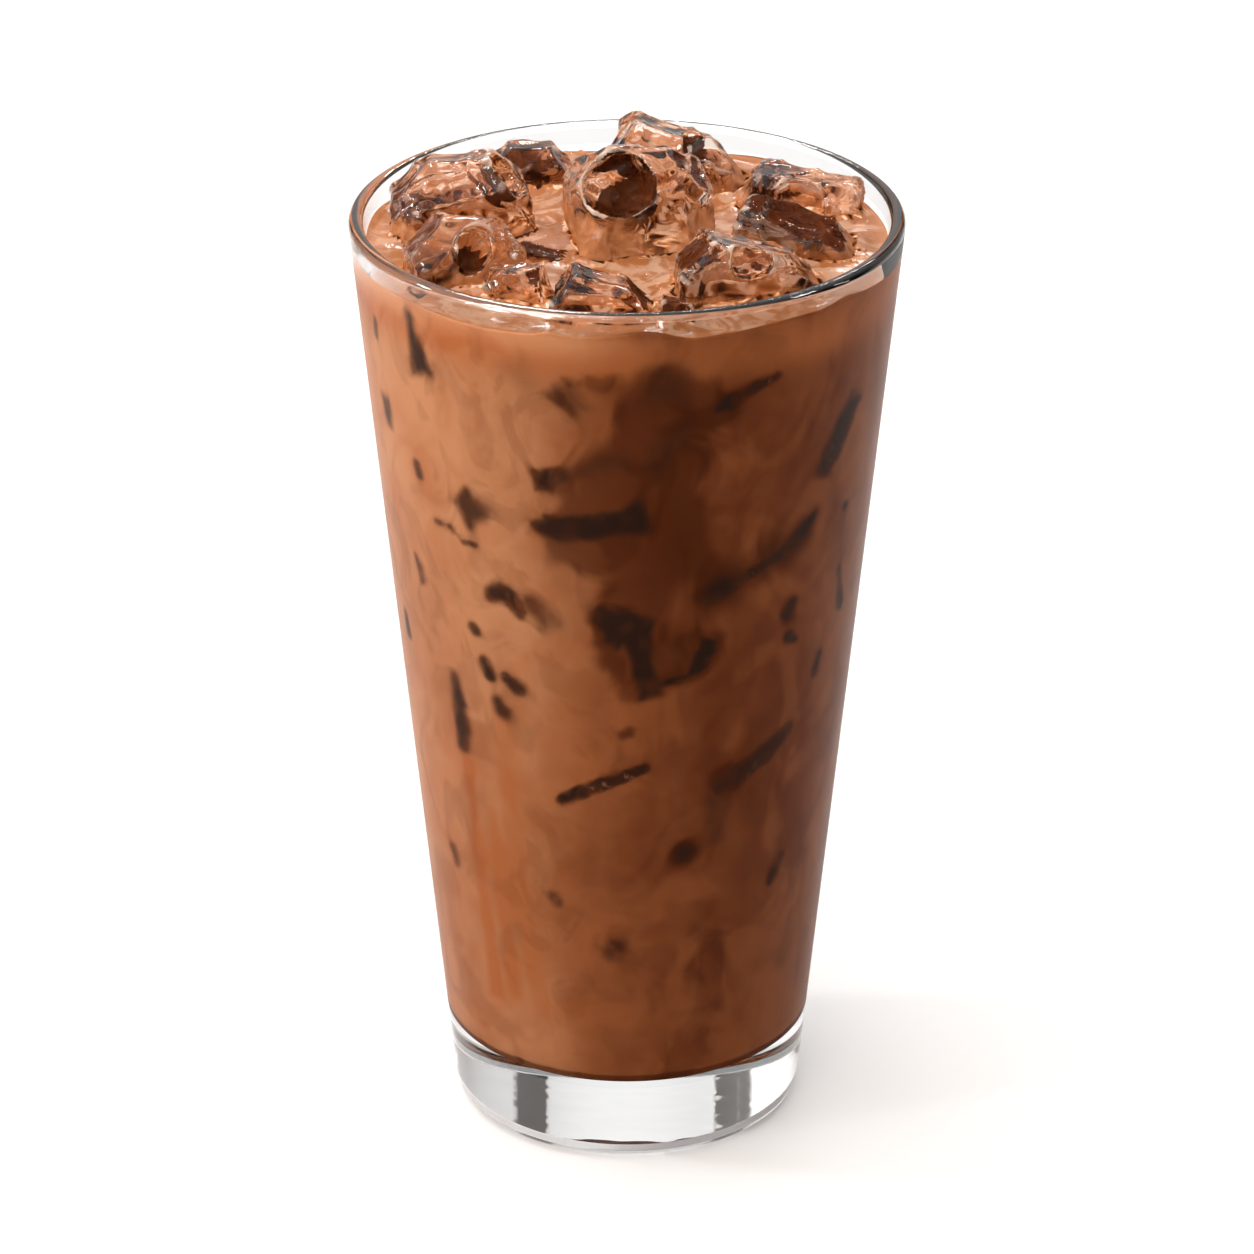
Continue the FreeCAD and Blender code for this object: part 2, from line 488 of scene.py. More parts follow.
@dataclass(frozen=True)
class MeltingIce:
    """Clear wet ice, tinted warm as painted light: the tint stands for the drink's brown light inside it."""

    ior: float = 1.37
    # Painted light: a warm tint for the drink's brown light seen in the ice
    tint: Colour = (0.962, 0.855, 0.760)

    def material(self) -> bpy.types.Material:
        """Makes the ice.

        Returns:
            Its material.
        """
        made = bpy.data.materials.new("melting_ice")
        net = Net(made)
        ripples = net.clouds(net.place(), 3.0, 1.0, 0.6)
        shader = net.node("ShaderNodeBsdfPrincipled", {}, {
            "Base Color": (*self.tint, 1.0), "Roughness": 0.0, "IOR": self.ior, "Transmission Weight": 1.0,
            "Normal": net.bump(ripples, 0.05)})
        still = net.node("ShaderNodeBsdfRefraction", {}, {
            "Color": (*self.tint, 1.0), "Roughness": 0.0, "IOR": self.ior})
        shader = net.blend(net.spread("dark") * 0.92, shader, still)
        net.finish(net.clear_to_light(shader, (0.93, 0.89, 0.86)))
        return made


@dataclass(frozen=True)
class Bubble:
    """Skin of the small bubbles on the drink."""

    def material(self) -> bpy.types.Material:
        """Makes the bubbles' skin.

        Returns:
            Its material.
        """
        made = bpy.data.materials.new("bubble_skin")
        net = Net(made)
        shader = net.node("ShaderNodeBsdfPrincipled", {}, {
            "Base Color": (0.98, 0.92, 0.87, 1.0), "Roughness": 0.02, "IOR": 1.25, "Transmission Weight": 1.0})
        net.finish(net.clear_to_light(shader, (0.95, 0.9, 0.86)))
        return made


# Mesh tools


class Field:
    """Smooth repeatable random field in space, from -1 to 1."""

    def __init__(self, seed: int, size_mm: float) -> None:
        """Draws the lattice.

        Args:
            seed: which field.
            size_mm: distance between lattice points.
        """
        self.table = np.random.default_rng(seed).uniform(-1.0, 1.0, (32, 32, 32))
        self.size = size_mm * MM

    def at(self, points: np.ndarray) -> np.ndarray:
        """Values of the field at an (n, 3) array of points.

        Args:
            points: the points, in metres.

        Returns:
            One value for each point.
        """
        spot = points / self.size + 100.0
        cell = np.floor(spot).astype(int)
        f = spot - cell
        f = f * f * (3.0 - 2.0 * f)
        total = np.zeros(len(points))
        for corner in np.ndindex(2, 2, 2):
            i, j, k = ((cell + corner) % 32).T
            weight = np.prod(np.where(corner, f, 1.0 - f), axis=1)
            total += weight * self.table[i, j, k]
        return total


def heading(azimuth: float, elevation: float) -> np.ndarray:
    """Unit vector at those angles in degrees, azimuth from +X towards +Y."""
    a, e = math.radians(azimuth), math.radians(elevation)
    return np.array((math.cos(a) * math.cos(e), math.sin(a) * math.cos(e), math.sin(e)))


def smoothstep(value: np.ndarray, low: float, high: float) -> np.ndarray:
    """Smooth rise from 0 at low to 1 at high."""
    t = np.clip((value - low) / (high - low), 0.0, 1.0)
    return t * t * (3.0 - 2.0 * t)


def rounded(corners: Sequence[tuple[float, float, float]], steps: int = 10) -> Outline:
    """Outline with its corners turned into arcs.

    Args:
        corners: (radius, height, rounding) of each corner.
        steps: points on each arc, less one.

    Returns:
        Points of the outline.
    """
    points: Outline = []
    for i, (r, z, rounding) in enumerate(corners):
        if rounding == 0.0:
            points.append((r, z))
            continue
        here = np.array((r, z))
        before = np.array(corners[i - 1][:2]) - here
        after = np.array(corners[i + 1][:2]) - here
        before /= np.linalg.norm(before)
        after /= np.linalg.norm(after)
        half = math.acos(float(np.clip(before @ after, -1.0, 1.0))) / 2
        bisector = (before + after) / np.linalg.norm(before + after)
        centre = here + bisector * rounding / math.sin(half)
        start = here + before * rounding / math.tan(half) - centre
        end = here + after * rounding / math.tan(half) - centre
        for step in range(steps + 1):
            turn = step / steps
            arm = start * (1 - turn) + end * turn
            arm *= rounding / np.linalg.norm(arm)
            points.append(tuple(centre + arm))
    return points


def stepped(outline: Outline, longest: float) -> Outline:
    """The outline with points added so that no stretch off the axis is longer than longest.

    Args:
        outline: (radius, height) points.
        longest: the longest stretch, in the outline's unit.

    Returns:
        The outline with more points.
    """
    points = outline[:1]
    for (r0, z0), (r1, z1) in zip(outline, outline[1:]):
        count = 1 if r1 == 0.0 else max(1, math.ceil(math.hypot(r1 - r0, z1 - z0) / longest))
        points += [(r0 + (r1 - r0) * i / count, z0 + (z1 - z0) * i / count) for i in range(1, count + 1)]
    return points


def add_piece(name: str, points: np.ndarray, faces: Sequence[Sequence[int]],
              materials: Sequence[bpy.types.Material]) -> bpy.types.Object:
    """Makes a smooth mesh object in the row frame.

    Args:
        name: the piece's name.
        points: (n, 3) vertices in metres.
        faces: vertex numbers of each face.
        materials: its material slots.

    Returns:
        The new object.
    """
    mesh = bpy.data.meshes.new(name)
    mesh.from_pydata(points.tolist(), [], [tuple(f) for f in faces])
    mesh.validate()
    mesh.shade_smooth()
    for material in materials:
        mesh.materials.append(material)
    piece = bpy.data.objects.new(name, mesh)
    bpy.context.scene.collection.objects.link(piece)
    return piece


def points_of(mesh: bpy.types.Mesh) -> np.ndarray:
    """Vertices of a mesh as an (n, 3) array.

    Args:
        mesh: the mesh.

    Returns:
        The places in metres.
    """
    flat = np.empty(len(mesh.vertices) * 3, np.float32)
    mesh.vertices.foreach_get("co", flat)
    return flat.reshape(-1, 3).astype(float)


def normals_of(mesh: bpy.types.Mesh) -> np.ndarray:
    """Vertex normals of a mesh as an (n, 3) array.

    Args:
        mesh: the mesh.

    Returns:
        Unit vectors.
    """
    flat = np.empty(len(mesh.vertices) * 3, np.float32)
    mesh.vertices.foreach_get("normal", flat)
    return flat.reshape(-1, 3).astype(float)


def move_points(mesh: bpy.types.Mesh, points: np.ndarray) -> None:
    """Puts the vertices of a mesh at points."""
    mesh.vertices.foreach_set("co", points.astype(np.float32).ravel())
    mesh.update()


def write_spread(mesh: bpy.types.Mesh, name: str, values: np.ndarray) -> None:
    """Stores one value for each vertex as an attribute."""
    spread = mesh.attributes.new(name, "FLOAT", "POINT")
    spread.data.foreach_set("value", values.astype(np.float32))


def read_spread(mesh: bpy.types.Mesh, name: str) -> np.ndarray:
    """Values of an attribute.

    Args:
        mesh: the mesh.
        name: the attribute's name.

    Returns:
        One value for each vertex.
    """
    values = np.empty(len(mesh.vertices), np.float32)
    mesh.attributes[name].data.foreach_get("value", values)
    return values


def apply_modifiers(piece: bpy.types.Object) -> None:
    """Bakes the piece's modifiers into its mesh.

    Args:
        piece: the piece, which is left with no modifiers.
    """
    graph = bpy.context.evaluated_depsgraph_get()
    mesh = bpy.data.meshes.new_from_object(piece.evaluated_get(graph))
    piece.modifiers.clear()
    old = piece.data
    piece.data = mesh
    bpy.data.meshes.remove(old)


def ring_faces(rings: int, around: int, first: int = 0) -> list[tuple[int, ...]]:
    """Quads between consecutive rings of points, outward when rings run up the outside.

    Args:
        rings: number of rings.
        around: points in each ring.
        first: number of the first ring's first point.

    Returns:
        The quads.
    """
    faces = []
    for j in range(rings - 1):
        low = first + j * around
        for i in range(around):
            k = (i + 1) % around
            faces.append((low + i, low + k, low + around + k, low + around + i))
    return faces


def lathe(outline: Outline, around: int) -> tuple[np.ndarray, list[tuple[int, ...]]]:
    """Closed solid of revolution of an outline that starts and ends on the axis.

    Args:
        outline: (radius, height) points from the bottom of the axis round the outside to its other end.
        around: points in a turn.

    Returns:
        Vertices and faces.
    """
    turn = np.linspace(0.0, 2 * math.pi, around, endpoint=False)
    rings = [np.column_stack((r * np.sin(turn), -r * np.cos(turn), np.full(around, z))) for r, z in outline[1:-1]]
    points = np.vstack(rings + [[(0.0, 0.0, outline[0][1])], [(0.0, 0.0, outline[-1][1])]])
    faces = ring_faces(len(rings), around)
    start, end = len(points) - 2, len(points) - 1
    last = (len(rings) - 1) * around
    for i in range(around):
        k = (i + 1) % around
        faces.append((start, k, i))
        faces.append((end, last + i, last + k))
    return points, faces


# The tumbler


class Zone(IntEnum):
    """Parts of the tumbler that have a glass of their own, in the order of its material slots."""

    WALL = 0
    RIM = 1
    WET_STEP = 2
    BASE = 3
    BAND = 4


@dataclass
class Tumbler:
    """Tall tapered glass with a thick base."""

    height_mm: float = 158.0
    rim_radius_mm: float = 44.7
    foot_radius_mm: float = 29.0
    rim_wall_mm: float = 2.4
    foot_wall_mm: float = 3.0
    base_mm: float = 14.0
    rim_round_mm: float = 1.12
    heel_round_mm: float = 3.0
    floor_round_mm: float = 5.0
    ring_inner_mm: float = 22.8
    punt_mm: float = 0.6
    wet_mm: tuple[float, float] = (20.8, 23.4)
    rim_zone_mm: float = 1.6
    band_zone_mm: float = 4.4
    least_gloss: float = 0.28
    ring_step_mm: float = 3.0
    arc_steps: int = 14
    around: int = 288

    def outer(self, z: np.ndarray | float) -> np.ndarray | float:
        """Outside radius in mm at height z in mm."""
        return self.foot_radius_mm + (self.rim_radius_mm - self.foot_radius_mm) * z / self.height_mm

    def inner(self, z: np.ndarray | float) -> np.ndarray | float:
        """Inside radius in mm at height z in mm."""
        share = (z - self.base_mm) / (self.height_mm - self.base_mm)
        return self.outer(z) - self.foot_wall_mm - (self.rim_wall_mm - self.foot_wall_mm) * share

    def build(self, glasses: Sequence[ClearGlass]) -> bpy.types.Object:
        """Makes the glass.

        Args:
            glasses: the glass of each zone, in the order of Zone.

        Returns:
            The piece.
        """
        corners = [
            (0.0, self.punt_mm, 0.0),
            (self.ring_inner_mm - 1.6, self.punt_mm, 2.5),
            (self.ring_inner_mm, 0.0, 2.0),
            (self.foot_radius_mm, 0.0, self.heel_round_mm),
            (self.rim_radius_mm, self.height_mm, self.rim_round_mm),
            (self.inner(self.height_mm), self.height_mm, self.rim_round_mm),
            (self.inner(self.base_mm), self.base_mm, self.floor_round_mm),
            (0.0, self.base_mm, 0.0)]
        outline = [(r * MM, z * MM) for r, z in stepped(rounded(corners, self.arc_steps), self.ring_step_mm)]
        points, faces = lathe(outline, self.around)
        piece = add_piece("tumbler", points, faces, [glass.material() for glass in glasses])
        flags = [int(self._zone(face.center)) for face in piece.data.polygons]
        piece.data.polygons.foreach_set("material_index", flags)
        height = points[:, 2] / MM
        lit = smoothstep(-points[:, 0] - 0.4 * points[:, 1], 0.002, 0.030)
        shine = smoothstep(height, self.height_mm - 9.0, self.height_mm - 2.0) * lit
        shine += smoothstep(-height, -18.0, -10.0) * 0.25
        least = self.least_gloss
        write_spread(piece.data, "gloss", least + (1.0 - least) * np.clip(shine, 0.0, 1.0))
        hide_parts("glass")
        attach(piece, "root")
        return piece

    def _zone(self, place: Vector) -> Zone:
        """Zone of the tumbler that a face at place is in.

        Args:
            place: the middle of the face, in metres.

        Returns:
            The zone.
        """
        radius, height = math.hypot(place.x, place.y) / MM, place.z / MM
        if height < self.punt_mm + 0.3 and self.wet_mm[0] < radius < self.wet_mm[1]:
            return Zone.WET_STEP
        if height < self.base_mm + 1.0:
            return Zone.BASE
        if height > self.height_mm - self.rim_zone_mm:
            return Zone.RIM
        return Zone.BAND if height > self.height_mm - self.band_zone_mm else Zone.WALL


# The ice that stands out of the drink


@dataclass(frozen=True)
class Pit:
    """Hollow melted into a cube: the way it faces in degrees, its width, how much deeper it goes, how dark its
    painted shade is.
    """

    azimuth: float
    elevation: float
    width_mm: float
    deeper_mm: float
    dark: float = 0.9


@dataclass(frozen=True)
class Pane:
    """Facet of a cube painted dark as shade by a skin under it: the way it faces in degrees, how far it spreads, how
    dark it is.
    """

    azimuth: float
    elevation: float
    spread: float = 20.0
    dark: float = 0.8


# Hollows of the cubes, each holding painted shade
PITS = {
    "ice_middle": (Pit(-114, 54, 9.4, 2.2, 0.97),),
    "ice_back_right": (Pit(-35, 50, 7.0, 2.0, 0.85),),
    "ice_left": (Pit(-5, 52, 8.0, 1.2, 0.6),),
    "ice_left_front": (Pit(-66, 50, 5.8, 2.4, 0.97),),
}

# Facets of the cubes painted dark as shade
PANES = {
    "ice_left": (Pane(0, 42, 20.0, 0.6), Pane(180, 42, 16.0, 0.4)),
    "ice_middle": (Pane(-2, 44, 20.0, 0.6), Pane(90, 50, 20.0, 0.5)),
    "ice_back_left": (Pane(-88, 44, 18.0, 0.85),),
    "ice_right": (Pane(-60, 74, 27.0, 0.97),),
    "ice_right_front": (Pane(-92, 48, 18.0, 0.85), Pane(-178, 42, 18.0, 0.6)),
    "ice_front": (Pane(0, 44, 20.0, 0.85),),
    "ice_front_left": (Pane(-60, 42, 24.0, 0.8),),
    "ice_front_chip": (Pane(-90, 45, 60.0, 0.92),),
    "ice_inner_chip": (Pane(-90, 60, 50.0, 0.85),),
    "ice_left_front": (Pane(180, 44, 16.0, 0.4),),
}

# Crumpled patches of the cubes: the way each faces in degrees and how far it spreads
CRUMPLES = {
    "ice_middle": (Pane(-20, 30, 34.0), Pane(170, 30, 26.0)),
    "ice_left": (Pane(-115, 34, 34.0),),
    "ice_back_right": (Pane(-80, 40, 30.0),),
    "ice_right_front": (Pane(-150, 30, 30.0),),
    "ice_right_back": (Pane(-140, 40, 30.0),),
    "ice_left_front": (Pane(-20, 40, 28.0),),
}

# How high milk clings to each cube in mm over the drink
FILMS = {"ice_middle": 12.0, "ice_left_front": 7.0, "ice_right_back": 9.0, "ice_right": 9.5, "ice_back_left": 5.0,
         "ice_left": 4.5, "ice_back_right": 5.0, "ice_right_front": 3.0, "ice_front": 2.5, "ice_front_left": 2.0}


# The raised lip round a hollow: its place and width as shares of the hollow's radius, its height as a share of the
# hollow's width
LIP_PLACE = 1.12
LIP_WIDTH = 0.10
LIP_HEIGHT = 0.045


@dataclass
class IceHeap:
    """The cubes that stand out of the drink, each melted from its plain solid."""

    voxel_mm: float = 0.42
    least_voxels: int = 30
    soften_steps: int = 4
    dimple_share: float = 0.62
    dimple_depth_share: float = 0.030
    facet_depth_mm: float = 0.12
    crisp: float = 1.5
    blur_steps: int = 60
    ridge_quantiles: tuple[float, float] = (0.90, 0.985)
    seed: int = 11

    def build(self, finish: MeltingIce) -> list[bpy.types.Object]:
        """Makes every cube.

        Args:
            finish: their ice.

        Returns:
            The pieces.
        """
        material = finish.material()
        names = sorted(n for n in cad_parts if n.startswith("ice_"))
        return [self._melted(name, number, material) for number, name in enumerate(names)]

    def _melted(self, name: str, number: int, material: bpy.types.Material) -> bpy.types.Object:
        """One cube with scalloped faces, uneven edges and small ripples.

        Args:
            name: the cube's node.
            number: which cube, for its own hollows and web.
            material: its ice.

        Returns:
            The piece.
        """
        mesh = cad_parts[name].data.copy()
        mesh.materials.clear()
        mesh.materials.append(material)
        piece = bpy.data.objects.new(name + "_melted", mesh)
        bpy.context.scene.collection.objects.link(piece)
        low, high = (np.array(c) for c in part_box(name))
        girth = float(np.mean(high - low))
        remesh = piece.modifiers.new("even", "REMESH")
        remesh.mode = "VOXEL"
        remesh.voxel_size = min(self.voxel_mm * MM, girth / self.least_voxels)
        smooth = piece.modifiers.new("soft", "SMOOTH")
        smooth.factor, smooth.iterations = 0.5, self.soften_steps
        apply_modifiers(piece)
        self._crease(piece)
        self._scallop(piece.data, girth, number)
        self._pit(piece.data, PITS.get(name, ()), PANES.get(name, ()))
        self._crumple(piece.data, CRUMPLES.get(name, ()), number)
        piece.data.shade_smooth()
        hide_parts(name)
        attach(piece, "root")
        return piece

    def _crease(self, piece: bpy.types.Object) -> None:
        """Sharpens the edges between the facets of a cube, sinks the facets and notes its sharpest ridges.

        Args:
            piece: the cube.
        """
        before = points_of(piece.data)
        normals = normals_of(piece.data)
        soft = piece.modifiers.new("blur", "SMOOTH")
        soft.factor, soft.iterations = 0.5, self.blur_steps
        apply_modifiers(piece)
        bulge = before - points_of(piece.data)
        height = np.einsum("ij,ij->i", bulge, normals) / MM
        flat = 1.0 - smoothstep(height, 0.02, 0.30)
        sharp = np.quantile(height, self.ridge_quantiles)
        write_spread(piece.data, "ridge", smoothstep(height, sharp[0], sharp[1]))
        move_points(piece.data, before + bulge * self.crisp - normals * (flat * self.facet_depth_mm * MM)[:, None])

    def _scallop(self, mesh: bpy.types.Mesh, girth: float, number: int) -> None:
        """Sinks shallow hollows between ridges into the mesh, as melting leaves them.

        Args:
            mesh: the even mesh of one cube.
            girth: its mean size.
            number: which cube, for its own hollows.
        """
        points, normals = points_of(mesh), normals_of(mesh)
        rng = np.random.default_rng(self.seed + number)
        cell = girth * self.dimple_share
        low, high = points.min(axis=0) - cell, points.max(axis=0) + cell
        count = int(np.prod(high - low) / cell ** 3 * 1.2)
        warp = np.column_stack([Field(40 + 7 * number + k, 7.0).at(points) for k in range(3)])
        seeds = KDTree(count)
        for i, spot in enumerate(rng.uniform(low, high, (count, 3))):
            seeds.insert(spot, i)
        seeds.balance()
        ridge = np.empty(len(points))
        for i, spot in enumerate(points + warp * cell * 0.25):
            near = seeds.find_n(spot, 2)
            ridge[i] = near[1][2] - near[0][2]
        hollow = 1.0 - np.exp(-ridge / (cell * 0.13))
        depth = girth * self.dimple_depth_share
        small = Field(90 + number, 1.7).at(points) * 0.02 + Field(120 + number, 4.2).at(points) * 0.12
        sink = depth * hollow + (small + 0.06) * MM
        move_points(mesh, points - normals * sink[:, None])

    @staticmethod
    def _crumple(mesh: bpy.types.Mesh, patches: Sequence[Pane], number: int) -> None:
        """Raises a fine web of ridges on parts of a cube.

        Args:
            mesh: the cube.
            patches: where.
            number: which cube, for its own web.
        """
        points, normals = points_of(mesh), normals_of(mesh)
        share = np.zeros(len(points))
        for patch in patches:
            lean = np.degrees(np.arccos(np.clip(normals @ heading(patch.azimuth, patch.elevation), -1.0, 1.0)))
            share = np.maximum(share, 1.0 - smoothstep(lean, patch.spread * 0.6, patch.spread))
        folds = np.abs(Field(400 + number, 3.4).at(points)) + 0.6 * np.abs(Field(430 + number, 2.0).at(points))
        sink = share * 0.55 * (1.0 - np.exp(-folds / 0.22))
        move_points(mesh, points - normals * (sink * MM)[:, None])

    @staticmethod
    def _pit(mesh: bpy.types.Mesh, pits: Sequence[Pit], panes: Sequence[Pane]) -> None:
        """Deepens the hollows of one cube and notes how much painted shade each of its points gets.

        Args:
            mesh: the cube.
            pits: its hollows.
            panes: its dark facets.
        """
        points = points_of(mesh)
        middle = (points.min(axis=0) + points.max(axis=0)) / 2
        dark = np.zeros(len(points))
        normals = normals_of(mesh)
        for pane in panes:
            lean = np.degrees(np.arccos(np.clip(normals @ heading(pane.azimuth, pane.elevation), -1.0, 1.0)))
            lean += Field(int(300 + pane.azimuth % 50), 5.0).at(points) * 8.0
            dark = np.maximum(dark, pane.dark * (1.0 - smoothstep(lean, pane.spread * 0.75, pane.spread * 1.1)))
        for pit in pits:
            way = heading(pit.azimuth, pit.elevation)
            offset = points - middle
            along = offset @ way
            across = np.linalg.norm(offset - along[:, None] * way, axis=1) / MM
            uneven = Field(int(200 + pit.azimuth % 50), 5.0).at(points) * 0.18 + 1.0
            share = np.where(along > 0.0, across / (pit.width_mm / 2 * uneven), 9.0)
            sink = 1.0 - smoothstep(share, 0.52, 1.02)
            lip = np.where(along > 0.0, np.exp(-((share - LIP_PLACE) / LIP_WIDTH) ** 2), 0.0)
            lip *= pit.width_mm * LIP_HEIGHT
            points -= way * ((sink * pit.deeper_mm - lip) * MM)[:, None]
            dark = np.maximum(dark, pit.dark * (1.0 - smoothstep(share, 0.86, 1.0)))
        move_points(mesh, points)
        write_spread(mesh, "dark", dark)


@dataclass
class Coating:
    """What lies on and just under the surface of the cubes: painted shade in their hollows and dark facets, milk
    round their feet and painted highlights on their ridges.
    """

    level_mm: float = 152.8
    lining_in_mm: float = 0.22
    film_out_mm: float = 0.05
    least_dark: float = 0.12

    def linings(self, finish: "MilkyCoffee", ice: Sequence[bpy.types.Object]) -> bpy.types.Object:
        """Makes the painted shade in the hollows and on the dark facets, a dark skin just under the surface of the
        ice.

        Args:
            finish: its coffee.
            ice: the cubes.

        Returns:
            The piece.
        """
        chosen = []
        for cube in ice:
            dark = read_spread(cube.data, "dark")
            chosen.append((cube, dark > self.least_dark, dark))
        return self._skin("hollow_coffee", chosen, -self.lining_in_mm, finish.material(Contact.HOLLOW))

    def film(self, finish: "MilkyCoffee", ice: Sequence[bpy.types.Object]) -> bpy.types.Object:
        """Makes the milk that clings to the feet of the cubes and the painted highlights on their ridges.

        Args:
            finish: its milk.
            ice: the cubes.

        Returns:
            The piece.
        """
        chosen = []
        slow, fine = Field(61, 6.0), Field(62, 1.8)
        for cube in ice:
            points = points_of(cube.data)
            height = points[:, 2] / MM - self.level_mm
            tall = FILMS.get(cube.name.removesuffix("_melted"), 1.5)
            edge = tall * (0.62 + 0.45 * slow.at(points)) + 0.7 * fine.at(points)
            veil = 1.0 - smoothstep(height - edge, -0.45 * tall, 0.6)
            veil *= 1.0 - smoothstep(read_spread(cube.data, "dark"), 0.05, 0.3)
            # Painted highlights along the sharpest ridges, kept as veil values below 0
            painted_highlight = read_spread(cube.data, "ridge") * (0.42 + 0.36 * fine.at(points))
            veil = np.where(painted_highlight > np.abs(veil), -painted_highlight, veil)
            chosen.append((cube, (height > -0.8) & (np.abs(veil) > 0.02), veil))
        return self._skin("milk_film_and_painted_highlights", chosen, self.film_out_mm, finish.material(Contact.FILM))

    @staticmethod
    def _skin(name: str, chosen: Sequence[tuple[bpy.types.Object, np.ndarray, np.ndarray]], out_mm: float,
              material: bpy.types.Material) -> bpy.types.Object:
        """Joins copies of the chosen parts of the cubes' surfaces, moved out by out_mm.

        Args:
            name: the piece's name.
            chosen: each cube, which of its points are kept, and the veil value of every point.
            out_mm: how far the copies lie outside the ice, less than 0 for inside.
            material: their finish.

        Returns:
            The piece.
        """
        points: list[np.ndarray] = []
        values: list[np.ndarray] = []
        faces: list[tuple[int, ...]] = []
        count = 0
        for cube, keep, value in chosen:
            mesh = cube.data
            number = np.full(len(mesh.vertices), -1)
            kept = [tuple(f.vertices) for f in mesh.polygons if all(keep[v] for v in f.vertices)]
            used = np.unique([v for face in kept for v in face]).astype(int)
            number[used] = count + np.arange(len(used))
            faces += [tuple(int(number[v]) for v in face) for face in kept]
            points.append(points_of(mesh)[used] + normals_of(mesh)[used] * out_mm * MM)
            values.append(value[used])
            count += len(used)
        piece = add_piece(name, np.vstack(points), faces, [material])
        write_spread(piece.data, "veil", np.concatenate(values))
        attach(piece, "root")
        return piece


# The drink


@dataclass(frozen=True)
class Lump:
    """One piece of ice, one zone of painted shade, or one run of thin coffee, behind the wall.

    path holds (angle in degrees from the front, height in mm, half width in mm) along its middle.
    """

    path: tuple[tuple[float, float, float], ...]
    core: float = 1.0
    soft_mm: float = 0.9
    # How much painted glint shows inside a piece of sunk ice
    glint: float = 0.3
